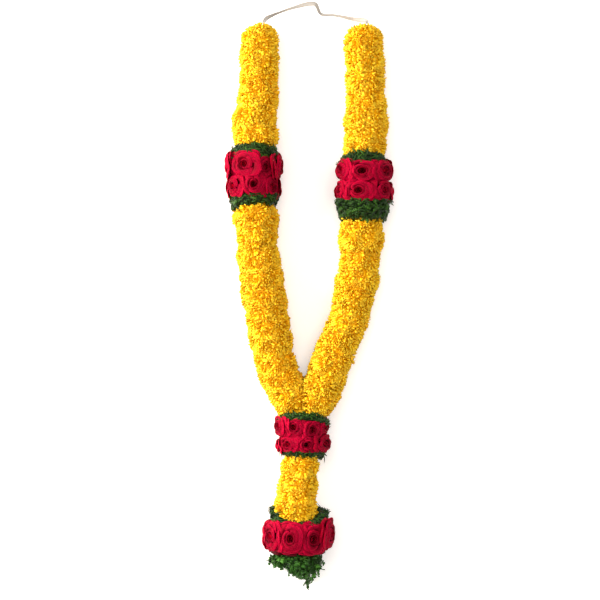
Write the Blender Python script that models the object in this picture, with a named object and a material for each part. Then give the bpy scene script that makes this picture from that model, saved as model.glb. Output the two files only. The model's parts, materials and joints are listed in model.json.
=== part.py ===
"""Chrysanthemum garland, laid flat on a surface with its face up.

Two legs of threaded chrysanthemum heads join in a short stem. Bands of roses between
collars of leaves break each leg, the join and the end, and a tassel of lobed leaves
hangs out of the end. One cotton string holds everything, and a gauze ribbon joins the
tops of the legs.

All lengths are in millimetres until the meshes are made. X is across the garland, Y runs
up it from the tassel to the neck, and Z stands up from the surface that it lies on.
Every piece is a stack of slices at constant Y, measured from the string inside it.
"""
import math
import random

import bmesh
import bpy
from mathutils import Vector

MM = 0.001
GAP = 0.3                  # between pieces that touch
TURN = 2 * math.pi

# String: one doubled cotton twine, down the left leg and back up the right one
STRING_RADIUS = 2.0
STRING_SIDES = 6
STRING_STEP = 60.0         # between the slices of the string
MERGE_STEP = 14.0          # and where its two runs draw together
BORE_RADIUS = STRING_RADIUS + GAP
PAIR_OFFSET = 2.4          # each run's distance from the stem's axis, side by side
LOOP_Y = -458.0            # centre of the loop that holds the tassel

# Chrysanthemum heads
HEADS_AROUND = 6
HEAD_ROW = 37.0            # rough distance between rows of heads
PETAL_TIP_LIFT = 0.5       # heights over the outline that the photograph shows
HEAD_CENTRE_LIFT = -1.0
PETAL_GROOVE_LIFT = -5.0
HEAD_EDGE_LIFT = -9.0
END_LIFT = -12.0           # where a run meets the leaves
DOME_LIFT = -6.0           # where a run ends in the open, at the top of a leg
END_DIP = 5.0              # how far the petals bow under the leaves that lie over them
END_ZONE = 6.0             # and how far past those leaves
END_ROOM = 1.0             # from the outermost petals to the end of a run
LEG_SQUEEZE = 9.0          # extra height of the heads pressed side by side at the join
SQUEEZE_FROM, SQUEEZE_TO = -100.0, -175.0
JOIN_X = -11.0             # plane between the two legs where they lie side by side
JOIN_ROOM = GAP / 2 + 0.05  # from that plane to each leg

# Roses
ROSE_SIDES = 10
ROSE_CELL_GAP = 0.25       # from a rose to the planes between it and its neighbours
ROSE_HALF_WIDTH = 27.0     # the widest that a rose opens
ROSE_SQUARE = 0.62         # 1 is a round outline, less is pressed square by its neighbours
ROSE_STALK = (2.6, 3.0)    # half width and half length of a rose's stalk
ROSE_TWIST = 0.3           # turn of each ring of petals, in sides

# Leaf collars
LEAVES_AROUND = 6
LEAF_THICKNESS = 1.6
LEAF_ROOT_DEPTH = 8.0      # how far in from its bulge a leaf comes out between the flowers
LEAF_UNDERCUT = 1.5        # how far under its thinnest place a leaf leaves the hub

# Ribbon
RIBBON_RADIUS = 3.0
RIBBON_STEP = 13.2         # between the points of its solid

# Legs, top to bottom: (y, x of the centre, half width, height of the centre)
LEFT_LEG = (
    (506, -88, 17, 35), (500, -89, 29, 35), (490, -91, 34.5, 35.5), (470, -91, 35.5, 36),
    (440, -92, 36.5, 36), (405, -93, 36, 36), (370, -95, 37.5, 36.5), (336, -102, 42, 39),
    (310, -98, 41, 43), (288, -97, 42, 47), (236, -100, 44, 52.5), (184, -101, 41.5, 46),
    (158, -98, 42, 42), (137, -95, 39.5, 38.5), (115, -96, 36.5, 36), (90, -94, 38.5, 37),
    (60, -88, 41, 38), (28, -86, 41, 38.5), (-7, -79, 40.5, 38.5), (-43, -74, 41, 38.5),
    (-79, -68, 38, 37.5), (-115, -58, 39.5, 39), (-145, -47, 38.5, 41), (-168, -39, 35, 44),
    (-187, -33, 28.5, 48), (-200, -30, 27, 50),
)
RIGHT_LEG = (
    (506, 99, 17, 35), (500, 98, 29, 35), (490, 97.5, 34.5, 35.5), (470, 96.5, 36.5, 36),
    (443, 100.5, 37, 36), (407, 100, 35.5, 36), (371, 101.5, 37.5, 36.5), (336, 102, 40, 38),
    (297, 100, 40, 43), (276, 98, 41, 47), (226, 99.5, 44, 52.5), (172, 95, 42.5, 46),
    (150, 93.5, 42, 42), (137, 93.5, 42.5, 40), (115, 92, 41, 38), (94, 91, 37, 36.5),
    (65, 88, 38.5, 37), (38, 84.5, 40, 38), (11, 78, 38.5, 37), (-16, 73, 36.5, 36),
    (-43, 63, 39, 37), (-79, 46.5, 40, 38), (-115, 34, 38.5, 39), (-145, 25, 38.5, 41),
    (-168, 17, 36, 44), (-187, 10, 30, 48), (-200, 7, 27, 50),
)
# Stem, from the join to the tassel
STEM = (
    (-150, -11, 50, 46), (-200, -12, 50, 50), (-232, -13.5, 50, 52), (-272, -16, 34, 51),
    (-285, -17, 36, 50), (-313, -20, 36.5, 50), (-340, -23, 38, 53), (-362, -25, 42.5, 57),
    (-382, -25, 38, 61), (-417, -21, 50, 64), (-520, -19, 30, 62),
)
# Half the distance between the two runs of string, from the legs into the stem
PAIR_SPREAD = (
    (-168, 26), (-187, 15.5), (-198, 10), (-212, 5.5), (-232, PAIR_OFFSET), (-600, PAIR_OFFSET),
)

# Neck ribbon, from the left leg to the right one: (x, y, height)
RIBBON_ROUTE = (
    (-84, 511.1, 35.5), (-83.6, 515, 34.8), (-81, 520, 30), (-77, 523.5, 22), (-71, 526.5, 12.5),
    (-63, 530, 5.6), (-48.6, 534.8, 3.3), (-33, 539.5, 3.2), (-18, 543.6, 3.2), (-4, 546.4, 3.2),
    (7.5, 545.6, 3.2), (14.8, 539, 3.2), (20.5, 531.2, 3.2), (30.6, 527.6, 3.2), (45, 527.4, 3.2),
    (60, 524.8, 3.2), (74, 522.4, 3.4), (83, 520.8, 6), (91, 519.6, 13), (97, 519, 22),
    (101.5, 517.4, 30), (103.2, 514.6, 34.6), (103.5, 512.0, 35.5),
)
STRING_TOP_LEFT = (509.0, -84.0, 35.5)
STRING_TOP_RIGHT = (509.5, 103.5, 35.5)

# Bands of roses. A row is (top y, bottom y, first cell's start angle, cell widths), in degrees,
# counted from straight up out of the surface towards +X.
ROSE_BANDS = {
    "left": (LEFT_LEG, 46.5, (
        (283.0, 234.0, -61, (65, 46, 60, 63, 63, 63)),
        (234.0, 188.0, -79, (54, 50, 55, 67, 67, 67)),
    )),
    "right": (RIGHT_LEG, 48.0, (
        (266.5, 226.0, -90, (54, 58, 58, 63, 63, 64)),
        (226.0, 185.5, -96, (54, 56, 56, 64, 65, 65)),
    )),
    "middle": (STEM, 45.0, (
        (-197.0, -235.0, -42, (42, 42, 54, 56, 56, 56, 54)),
        (-235.0, -267.5, -66, (50, 48, 62, 67, 67, 66)),
    )),
    "end": (STEM, 59.0, (
        (-385.0, -448.0, -82, (45, 42, 45, 45, 46, 46, 46, 45)),
    )),
}

# Collars of leaves: (strand, y on the rose side, y of the hub's other face, y of the leaf tips,
# radius on the rose side, radius at the leaf tips)
LEAF_COLLARS = {
    "foliage_left_top": (LEFT_LEG, 283.3, 288.5, 299, 51, 44.5),
    "foliage_left_bottom": (LEFT_LEG, 187.7, 183.0, 171, 50, 44),
    "foliage_right_top": (RIGHT_LEG, 266.8, 272.0, 284, 52, 44),
    "foliage_right_bottom": (RIGHT_LEG, 185.2, 172.5, 150, 51.5, 46),
    "foliage_middle_top": (STEM, -196.7, -192.5, -184, 51, 53),
    "foliage_middle_bottom": (STEM, -267.8, -272.0, -282, 46, 39),
    "foliage_end_top": (STEM, -384.7, -380.0, -366, 60, 60),
}

# Sprays of the tassel: (angle of the root, x, y, z of the tip, half width)
TASSEL_SPRAYS = (
    (-84, (-83, -461, 62), 13), (-52, (-62, -474, 84), 15), (-20, (-36, -490, 72), 15),
    (10, (-8, -506.5, 58), 17), (36, (6, -488, 84), 13), (62, (20, -471, 76), 14),
    (90, (33, -460, 56), 12),
    (118, (14, -478, 14), 14), (165, (-12, -496, 2), 15), (205, (-44, -484, 2), 15),
    (246, (-70, -468, 20), 14),
)
TASSEL_HUB = ((-448.3, 24), (-458, 24), (-468, 16), (-476, 8))
TASSEL_HUB_SIDES = 12
SPRAY_DEPTH = 8.0          # how far a spray is sunk into the hub
SPRAY_ARCH = 24.0          # how far it rises from the hub before it bends down
SPRAY_SAG = 10.0
SPRAY_ROOM = 0.5           # from the hub's top face down to the sprays
# Edge of a spray from its root to its tip: share of the half width, share of the length that
# a lobe leans forward
SPRAY_EDGE = (
    (0.3, 0.0), (0.9, 0.06), (0.35, 0.0), (1.0, 0.07), (0.35, 0.0), (0.85, 0.07),
    (0.28, 0.0), (0.55, 0.05), (0.06, 0.0),
)
# A blade's section: (share of the half width, height), with its rib along the top
BLADE_SECTION = ((-1, 0.7), (0, 1.4), (1, 0.7), (1, -0.7), (-1, -0.7))


def clear_scene():
    """Remove whatever the file holds."""
    for thing in list(bpy.data.objects):
        bpy.data.objects.remove(thing)


def material(name, colour, roughness):
    """A plain finish for one kind of piece."""
    finish = bpy.data.materials.new(name)
    finish.use_nodes = True
    shader = finish.node_tree.nodes["Principled BSDF"]
    shader.inputs["Base Color"].default_value = (*colour, 1.0)
    shader.inputs["Roughness"].default_value = roughness
    shader.inputs["Metallic"].default_value = 0.0
    return finish


def add_piece(name, bm, finish):
    """Make a named object of a bmesh whose points are in millimetres."""
    bmesh.ops.triangulate(bm, faces=bm.faces[:])
    bmesh.ops.recalc_face_normals(bm, faces=bm.faces[:])
    bmesh.ops.scale(bm, vec=(MM, MM, MM), verts=bm.verts[:])
    mesh = bpy.data.meshes.new(name)
    bm.to_mesh(mesh)
    bm.free()
    mesh.materials.append(finish)
    thing = bpy.data.objects.new(name, mesh)
    bpy.context.scene.collection.objects.link(thing)
    return thing


def read_table(table, y):
    """Values of a table at y, on a smooth curve through its rows."""
    rows = sorted(table, key=lambda row: row[0])
    if y <= rows[0][0]:
        return rows[0][1:]
    if y >= rows[-1][0]:
        return rows[-1][1:]
    i = next(k for k in range(len(rows) - 1) if rows[k][0] <= y <= rows[k + 1][0])
    low, high = rows[i], rows[i + 1]
    before, after = rows[max(i - 1, 0)], rows[min(i + 2, len(rows) - 1)]
    span = high[0] - low[0]
    t = (y - low[0]) / span
    values = []
    for k in range(1, len(low)):
        slope_low = (high[k] - before[k]) / (high[0] - before[0]) * span
        slope_high = (after[k] - low[k]) / (after[0] - low[0]) * span
        values.append(
            (2 * t**3 - 3 * t**2 + 1) * low[k] + (t**3 - 2 * t**2 + t) * slope_low
            + (3 * t**2 - 2 * t**3) * high[k] + (t**3 - t**2) * slope_high)
    return values


def string_route(leg, top, side):
    """Points of one run of the string, from a leg's top to the loop: (y, x, z)."""
    points = [top]
    y = leg[0][0] - 8
    while y > LOOP_Y + STRING_STEP / 2:
        leg_x, _, leg_z = read_table(leg, y)
        stem_x, _, stem_z = read_table(STEM, y)
        spread = read_table(PAIR_SPREAD, y)[0]
        if y > PAIR_SPREAD[0][0]:
            points.append((y, leg_x, leg_z))
        else:
            points.append((y, stem_x + side * spread, stem_z))
        merging = PAIR_SPREAD[-2][0] - 5 < y < PAIR_SPREAD[0][0] + STRING_STEP
        y -= MERGE_STEP if merging else STRING_STEP
    stem_x, _, stem_z = read_table(STEM, LOOP_Y)
    points.append((LOOP_Y, stem_x + side * PAIR_OFFSET, stem_z))
    return points


LEFT_STRING = string_route(LEFT_LEG, STRING_TOP_LEFT, -1)
RIGHT_STRING = string_route(RIGHT_LEG, STRING_TOP_RIGHT, 1)


def on_route(route, y):
    """Centre (x, z) of a run of string at y, on the straight line between its slices."""
    for (y0, x0, z0), (y1, x1, z1) in zip(route, route[1:]):
        if y0 >= y >= y1:
            t = (y0 - y) / (y0 - y1)
            return x0 + (x1 - x0) * t, z0 + (z1 - z0) * t
    end = route[0] if y > route[0][0] else route[-1]
    return end[1], end[2]


def pair_centre(y):
    """Point midway between the two runs of string at y, and half their distance."""
    left_x, left_z = on_route(LEFT_STRING, y)
    right_x, right_z = on_route(RIGHT_STRING, y)
    return (left_x + right_x) / 2, (left_z + right_z) / 2, (right_x - left_x) / 2


def bore_slice(strand, y):
    """Corners (x, z) of the hole for the string in a slice: round one run or round both."""
    corners = []
    if strand is STEM:
        x, z, spread = pair_centre(y)
    else:
        x, z = on_route(LEFT_STRING if strand is LEFT_LEG else RIGHT_STRING, y)
        spread = 0.0
    for k in range(STRING_SIDES):
        angle = TURN * k / STRING_SIDES
        side = math.copysign(spread, math.cos(angle))
        corners.append((x + side + BORE_RADIUS * math.cos(angle), z + BORE_RADIUS * math.sin(angle)))
    return corners


def axis_at(strand, y):
    """The point that a slice is measured from: the middle of its hole."""
    if strand is STEM:
        return pair_centre(y)[:2]
    return on_route(LEFT_STRING if strand is LEFT_LEG else RIGHT_STRING, y)


def bore_heights(y_top, y_bottom):
    """Heights of the slices of a hole: its two ends and the string's own slices between."""
    inner = {y for y, _, _ in LEFT_STRING + RIGHT_STRING if y_bottom + 0.5 < y < y_top - 0.5}
    return [y_top, *sorted(inner, reverse=True), y_bottom]


def keep_inside(strand, x, y, z, floor=0.0):
    """Pull a point towards the string until it is over the floor and on its own side."""
    axis_x, axis_z = axis_at(strand, y)
    reach = 1.0
    if z < floor:
        reach = min(reach, (axis_z - floor) / (axis_z - z))
    if strand is LEFT_LEG and x > JOIN_X - JOIN_ROOM:
        reach = min(reach, (JOIN_X - JOIN_ROOM - axis_x) / (x - axis_x))
    if strand is RIGHT_LEG and x < JOIN_X + JOIN_ROOM:
        reach = min(reach, (axis_x - JOIN_X - JOIN_ROOM) / (axis_x - x))
    return axis_x + (x - axis_x) * reach, y, axis_z + (z - axis_z) * reach


def outline_point(strand, y, angle, lift, floor=0.0):
    """A point of the outline that the photograph shows, raised by lift."""
    x, half_width, z = read_table(strand, y)
    wide = half_width + lift
    tall = wide
    if strand is not STEM:
        tall += LEG_SQUEEZE * min(max((SQUEEZE_FROM - y) / (SQUEEZE_FROM - SQUEEZE_TO), 0.0), 1.0)
    return keep_inside(strand, x + wide * math.sin(angle), y, z + tall * math.cos(angle), floor)


def bridge_rings(bm, outer, inner, centre):
    """Close the band between two rings that both turn the same way round the centre."""
    def angle_of(vert):
        return math.atan2(vert.co.x - centre[0], vert.co.z - centre[1]) % TURN

    outer = sorted(outer, key=angle_of)
    inner = sorted(inner, key=angle_of)
    outer_angles = [angle_of(vert) for vert in outer]
    inner_angles = [angle_of(vert) for vert in inner]
    n, m = len(outer), len(inner)
    i = j = 0
    while i < n or j < m:
        next_outer = outer_angles[(i + 1) % n] + TURN * ((i + 1) // n)
        next_inner = inner_angles[(j + 1) % m] + TURN * ((j + 1) // m)
        if j >= m or (i < n and next_outer <= next_inner):
            bm.faces.new((outer[i % n], outer[(i + 1) % n], inner[j % m]))
            i += 1
        else:
            bm.faces.new((outer[i % n], inner[(j + 1) % m], inner[j % m]))
            j += 1


def add_bore(bm, strand, heights):
    """Wall of the hole for the string. Returns its rings at the two ends."""
    rings = []
    for y in heights:
        rings.append([bm.verts.new((x, y, z)) for x, z in bore_slice(strand, y)])
    for upper, lower in zip(rings, rings[1:]):
        for k in range(STRING_SIDES):
            following = (k + 1) % STRING_SIDES
            bm.faces.new((upper[k], upper[following], lower[following], lower[k]))
    return rings[0], rings[-1]


def chrysanthemum_run(name, strand, y_top, y_bottom, covers, phase, seed, finish):
    """A run of threaded heads: a tube raised into whorls of petals by a formula.

    covers says how far leaves lie over its two ends, and 0 is an open end.

    The heads sit on a grid of hexagons, offset by half a head in every other row. A head is
    a centre, a ring of six petal tips and six grooves, and the low edge that it shares with
    its neighbours. Angles count in quarters of a head's width, levels in sixths of a row.
    """
    draw = random.Random(seed)
    rows = round((y_top - y_bottom) / HEAD_ROW)
    row_height = (y_top - y_bottom) / rows
    columns = 4 * HEADS_AROUND
    last_level = 6 * (rows - 1)
    bm = bmesh.new()
    edges = {}

    def place(y, angle, lift):
        dip = floor = 0.0
        for from_end, cover in ((y_top - y, covers[0]), (y - y_bottom, covers[1])):
            if cover and from_end < cover + END_ZONE:
                dip = min(END_DIP, END_DIP * (cover + END_ZONE - from_end) / END_ZONE)
                floor = LEAF_THICKNESS + 2 * GAP
        return bm.verts.new(outline_point(strand, y, angle, lift - dip, floor))

    def edge_vert(column, level):
        key = (column % columns, level)
        if key not in edges:
            y = y_top - row_height * (level / 6 + 0.5)
            lift = HEAD_EDGE_LIFT + draw.uniform(-1, 1)
            if level <= -2:
                y, lift = y_top, END_LIFT if covers[0] else DOME_LIFT
            if level >= last_level + 2:
                y, lift = y_bottom, END_LIFT
            angle = phase + TURN * column / columns
            edges[key] = place(y, angle, lift)
        return edges[key]

    rim_steps = ((2, -2), (1, -3), (0, -4), (-1, -3), (-2, -2), (-2, 0),
                 (-2, 2), (-1, 3), (0, 4), (1, 3), (2, 2), (2, 0))
    for row in range(rows):
        for head in range(HEADS_AROUND):
            column = 4 * head + 2 * (row % 2)
            level = 6 * row
            turn = draw.randrange(2)
            centre_column = column + draw.uniform(-0.16, 0.16)
            centre_level = level + draw.uniform(-0.25, 0.25)
            y = y_top - row_height * (centre_level / 6 + 0.5)
            angle = phase + TURN * centre_column / columns
            centre = place(y, angle, HEAD_CENTRE_LIFT + draw.uniform(-1, 0.5))
            ring = []
            rim = []
            for k, (step_column, step_level) in enumerate(rim_steps):
                tip = (k + turn) % 2 == 0
                reach = 0.76 if tip else 0.5
                lift = (PETAL_TIP_LIFT if tip else PETAL_GROOVE_LIFT) + draw.uniform(-1.2, 0.6)
                petal_column = centre_column + step_column * reach
                petal_level = centre_level + step_level * reach
                y = y_top - row_height * (petal_level / 6 + 0.5)
                y = min(max(y, y_bottom + END_ROOM), y_top - END_ROOM)
                angle = phase + TURN * petal_column / columns
                ring.append(place(y, angle, lift))
                rim.append(edge_vert(column + step_column, level + step_level))
            for k in range(12):
                following = (k + 1) % 12
                bm.faces.new((centre, ring[k], ring[following]))
                bm.faces.new((ring[k], rim[k], rim[following]))
                bm.faces.new((ring[k], rim[following], ring[following]))

    top_bore, bottom_bore = add_bore(bm, strand, bore_heights(y_top, y_bottom))
    top_rim = [vert for (_, level), vert in edges.items() if level <= -2]
    bottom_rim = [vert for (_, level), vert in edges.items() if level >= last_level + 2]
    bridge_rings(bm, top_rim, top_bore, axis_at(strand, y_top))
    bridge_rings(bm, bottom_rim, bottom_bore, axis_at(strand, y_bottom))
    return add_piece(name, bm, finish)


def rose(name, strand, face, y_top, y_bottom, start, width, seed, finish):
    """One rose, facing out from the string, in its own wedge of the band.

    It is a cone of petals on a short stalk, with a rolled outer rim, a groove, a rolled
    inner rim and a hollow heart. Each ring is (distance from the string, share of the
    outline, height of a petal's wave).
    """
    draw = random.Random(seed)
    y_middle = (y_top + y_bottom) / 2
    middle = math.radians(start + width / 2)
    half_angle = math.radians(width / 2)
    axis_x, axis_z = axis_at(strand, y_middle)
    spread = pair_centre(y_middle)[2] if strand is STEM else 0.0
    out = Vector((math.sin(middle), 0, math.cos(middle)))
    across = Vector((math.cos(middle), 0, -math.sin(middle)))
    up = Vector((0, 1, 0))
    base = Vector((axis_x, y_middle, axis_z))
    stalk = spread * abs(out.x) + BORE_RADIUS + GAP
    half_height = (y_top - y_bottom) / 2 - ROSE_CELL_GAP
    twist = draw.uniform(0, TURN)
    rings = (
        (stalk, 0.0, 0.0), (0.66 * face, 1.0, 0.0), (face, 0.96, 1.4),
        (face - 5, 0.60, 0.0), (face + 2, 0.48, 1.2),
    )
    bm = bmesh.new()
    loops = []
    for index, (distance, share, wave) in enumerate(rings):
        room = distance * math.tan(half_angle) - ROSE_CELL_GAP / math.cos(half_angle)
        loop = []
        for k in range(ROSE_SIDES):
            angle = twist + TURN * (k + ROSE_TWIST * index) / ROSE_SIDES
            petal = 1 if k % 2 == index % 2 else -1
            height = distance + petal * wave * draw.uniform(0.7, 1.0)
            spread_out = share * (1.0 + 0.04 * petal) if wave else share
            half_width = min(room, ROSE_HALF_WIDTH) * spread_out
            half_length = half_height * spread_out
            if index == 0:
                half_width, half_length = min(room, ROSE_STALK[0]), ROSE_STALK[1]
            wide = math.copysign(abs(math.cos(angle)) ** ROSE_SQUARE, math.cos(angle))
            long = math.copysign(abs(math.sin(angle)) ** ROSE_SQUARE, math.sin(angle))
            half_width, half_length = min(half_width, room), min(half_length, half_height)
            point = base + out * height + across * (wide * half_width) + up * (long * half_length)
            if point.z < 0:
                pull = axis_z / (axis_z - point.z)
                point = Vector((axis_x + (point.x - axis_x) * pull, point.y, 0.0))
            loop.append(bm.verts.new(point))
        loops.append(loop)
    for lower, upper in zip(loops, loops[1:]):
        for k in range(ROSE_SIDES):
            following = (k + 1) % ROSE_SIDES
            bm.faces.new((lower[k], lower[following], upper[following]))
            bm.faces.new((lower[k], upper[following], upper[k]))
    bm.faces.new(loops[0][::-1])
    heart = base + out * (face - 4)
    heart.z = max(heart.z, 0.0)
    heart_vert = bm.verts.new(heart)
    for k in range(ROSE_SIDES):
        bm.faces.new((loops[-1][k], loops[-1][(k + 1) % ROSE_SIDES], heart_vert))
    return add_piece(name, bm, finish)


def rose_band(band, finish):
    """All the roses of one band, a row at a time."""
    strand, face, rows = ROSE_BANDS[band]
    number = 0
    for y_top, y_bottom, start, widths in rows:
        for width in widths:
            number += 1
            name = f"rose_{band}_{number:02d}"
            rose(name, strand, face, y_top, y_bottom, start, width, name, finish)
            start += width


def leaf_collar(name, finish):
    """A ring of leaves tied round the string, their cut blades laid over the flowers.

    A blade's edge goes notch, lobe, notch, tip, notch, lobe. lobes holds how far along the
    blade each one is, and ribs how high the blade stands there, half way along.
    """
    strand, y_root, y_hub, y_tip, root_radius, tip_radius = LEAF_COLLARS[name]
    draw = random.Random(name)
    lobes = (0.1, 0.66, 0.36, 1.0, 0.4, 0.72)
    ribs = (-5.0, 1.5, -2.0, 3.0, -2.0, 1.5)
    columns = len(lobes) * LEAVES_AROUND
    bm = bmesh.new()
    root, blade, edge_out, edge_in, crotch = [], [], [], [], []

    def ring_point(y, angle, radius, floor=0.0):
        x, z = axis_at(strand, y)
        x, z = x + radius * math.sin(angle), z + radius * math.cos(angle)
        return bm.verts.new(keep_inside(strand, x, y, z, floor))

    low = min(root_radius + min(ribs), tip_radius) - LEAF_THICKNESS - LEAF_UNDERCUT
    for k in range(columns):
        share = lobes[k % len(lobes)]
        angle = TURN * (k + draw.uniform(-0.2, 0.2)) / columns
        length = share * draw.uniform(0.85, 1.0)
        y = y_hub + (y_tip - y_hub) * max(length, 0.1)
        radius = root_radius + (tip_radius - root_radius) * length + draw.uniform(-0.3, 0.9)
        rib = ribs[k % len(ribs)] + draw.uniform(-0.5, 0.5)
        middle_y = y_hub + (y - y_hub) * 0.3
        root.append(ring_point(y_root, angle, root_radius + 0.5 * rib - LEAF_ROOT_DEPTH))
        blade.append(ring_point(middle_y, angle, (2 * root_radius + radius) / 3 + rib))
        edge_out.append(ring_point(y, angle, radius))
        edge_in.append(ring_point(y, angle, radius - LEAF_THICKNESS, LEAF_THICKNESS))
        crotch.append(ring_point(y_hub, angle, low, LEAF_THICKNESS))
    for first, second in ((root, blade), (blade, edge_out), (edge_out, edge_in), (edge_in, crotch)):
        for k in range(columns):
            following = (k + 1) % columns
            bm.faces.new((first[k], first[following], second[following]))
            bm.faces.new((first[k], second[following], second[k]))
    y_high, y_low = max(y_root, y_hub), min(y_root, y_hub)
    top_bore, bottom_bore = add_bore(bm, strand, bore_heights(y_high, y_low))
    if y_root > y_hub:
        bridge_rings(bm, root, top_bore, axis_at(strand, y_high))
        bridge_rings(bm, crotch, bottom_bore, axis_at(strand, y_low))
    else:
        bridge_rings(bm, crotch, top_bore, axis_at(strand, y_high))
        bridge_rings(bm, root, bottom_bore, axis_at(strand, y_low))
    return add_piece(name, bm, finish)


def tassel_hub(finish):
    """The tied stalks in the middle of the tassel, with a blind hole for the string's loop."""
    bm = bmesh.new()
    rings = []
    for y, radius in TASSEL_HUB:
        x, z = axis_at(STEM, y)
        ring = []
        for k in range(TASSEL_HUB_SIDES):
            angle = TURN * k / TASSEL_HUB_SIDES
            ring.append(bm.verts.new((x + radius * math.sin(angle), y, z + radius * math.cos(angle))))
        rings.append(ring)
    for upper, lower in zip(rings, rings[1:]):
        for k in range(TASSEL_HUB_SIDES):
            following = (k + 1) % TASSEL_HUB_SIDES
            bm.faces.new((upper[k], upper[following], lower[following], lower[k]))
    bm.faces.new(rings[-1])
    y_top = TASSEL_HUB[0][0]
    y_blind = LOOP_Y - PAIR_OFFSET - STRING_RADIUS - GAP
    top_bore, blind = add_bore(bm, STEM, (y_top, y_blind))
    bm.faces.new(blind)
    bridge_rings(bm, rings[0], top_bore, axis_at(STEM, y_top))
    return add_piece("foliage_tassel", bm, finish)


def tassel_spray(name, angle, tip, half_width, finish):
    """A blade cut into lobes on both sides, arched from the hub to its tip."""
    y_root = TASSEL_HUB[0][0] - 4
    x, z = axis_at(STEM, y_root)
    out = Vector((math.sin(math.radians(angle)), 0, math.cos(math.radians(angle))))
    start = Vector((x, y_root, z)) + out * (TASSEL_HUB[0][1] - SPRAY_DEPTH)
    end = Vector(tip)
    bend = start + out * SPRAY_ARCH + Vector((0, -SPRAY_SAG, 0))
    length = (end - start).length
    bm = bmesh.new()
    slices = []
    for k, (edge, forward) in enumerate(SPRAY_EDGE):
        t = k / (len(SPRAY_EDGE) - 1)
        point = start * (1 - t) ** 2 + bend * (2 * t * (1 - t)) + end * t**2
        along = ((bend - start) * (1 - t) + (end - bend) * t).normalized()
        side = along.cross(out).normalized()
        face = side.cross(along).normalized()
        corners = []
        for across, height in BLADE_SECTION:
            place = point + side * (across * half_width * edge) + face * height
            if across:
                place += along * (forward * length)
            place.y = min(place.y, TASSEL_HUB[0][0] - SPRAY_ROOM)
            place.z = max(place.z, 0.4 if height > 0 else 0.0)
            corners.append(bm.verts.new(place))
        slices.append(corners)
    for first, second in zip(slices, slices[1:]):
        for k in range(len(BLADE_SECTION)):
            following = (k + 1) % len(BLADE_SECTION)
            bm.faces.new((first[k], first[following], second[following]))
            bm.faces.new((first[k], second[following], second[k]))
    bm.faces.new(slices[0][::-1])
    bm.faces.new(slices[-1])
    return add_piece(name, bm, finish)


def tassel(finish):
    """The hub and its sprays, joined into one body."""
    hub = tassel_hub(finish)
    sprays = bpy.data.collections.new("tassel_sprays")
    bpy.context.scene.collection.children.link(sprays)
    for number, (angle, tip, half_width) in enumerate(TASSEL_SPRAYS):
        spray = tassel_spray(f"spray_{number:02d}", angle, tip, half_width, finish)
        bpy.context.scene.collection.objects.unlink(spray)
        sprays.objects.link(spray)
    union = hub.modifiers.new("join_sprays", "BOOLEAN")
    union.operation = "UNION"
    union.operand_type = "COLLECTION"
    union.collection = sprays
    union.solver = "MANIFOLD"
    bpy.context.view_layer.objects.active = hub
    bpy.ops.object.modifier_apply(modifier=union.name)
    for spray in list(sprays.objects):
        bpy.data.objects.remove(spray)
    bpy.data.collections.remove(sprays)
    keep_main_body(hub)


def keep_main_body(thing):
    """Fill what the union sealed and drop its loose scraps: only the largest body stays."""
    bm = bmesh.new()
    bm.from_mesh(thing.data)
    left = set(bm.verts)
    bodies = []
    while left:
        front = [left.pop()]
        body = set(front)
        while front:
            for edge in front.pop().link_edges:
                for vert in edge.verts:
                    if vert in left:
                        left.remove(vert)
                        body.add(vert)
                        front.append(vert)
        bodies.append(body)
    bodies.sort(key=len)
    for body in bodies[:-1]:
        bmesh.ops.delete(bm, geom=list(body), context="VERTS")
    bm.to_mesh(thing.data)
    bm.free()


def core_string(finish):
    """The string as one tube: down the left leg, round its loop and up the right leg."""
    bm = bmesh.new()
    frames = [(Vector((x, y, z)), Vector((1, 0, 0))) for y, x, z in LEFT_STRING]
    stem_x, stem_z, _ = pair_centre(LOOP_Y)
    for turn in (45, 90, 135):
        angle = math.radians(turn)
        outward = Vector((-math.cos(angle), -math.sin(angle), 0))
        frames.append((Vector((stem_x, LOOP_Y, stem_z)) + outward * PAIR_OFFSET, -outward))
    frames += [(Vector((x, y, z)), Vector((-1, 0, 0))) for y, x, z in reversed(RIGHT_STRING)]
    rings = []
    for centre, across in frames:
        ring = []
        for k in range(STRING_SIDES):
            angle = TURN * k / STRING_SIDES
            offset = across * math.cos(angle) + Vector((0, 0, 1)) * math.sin(angle)
            ring.append(bm.verts.new(centre + offset * STRING_RADIUS))
        rings.append(ring)
    for first, second in zip(rings, rings[1:]):
        for k in range(STRING_SIDES):
            following = (k + 1) % STRING_SIDES
            bm.faces.new((first[k], first[following], second[following], second[k]))
    bm.faces.new(rings[0])
    bm.faces.new(rings[-1])
    return add_piece("core_string", bm, finish)


def smooth_route(points, spacing):
    """Evenly spaced points on a smooth curve through the given ones."""
    nodes = [Vector(point) for point in points]
    steps = 12
    fine = []
    for i in range(len(nodes) - 1):
        before = nodes[max(i - 1, 0)]
        after = nodes[min(i + 2, len(nodes) - 1)]
        for step in range(steps):
            t = step / steps
            fine.append(0.5 * (
                2 * nodes[i] + (nodes[i + 1] - before) * t
                + (2 * before - 5 * nodes[i] + 4 * nodes[i + 1] - after) * t**2
                + (3 * nodes[i] - before - 3 * nodes[i + 1] + after) * t**3))
    fine.append(nodes[-1])
    total = sum((b - a).length for a, b in zip(fine, fine[1:]))
    count = round(total / spacing)
    even = [fine[0]]
    travelled, wanted = 0.0, total / count
    for a, b in zip(fine, fine[1:]):
        travelled += (b - a).length
        if travelled >= wanted and len(even) < count:
            even.append(b)
            wanted += total / count
    even.append(fine[-1])
    return even


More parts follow.
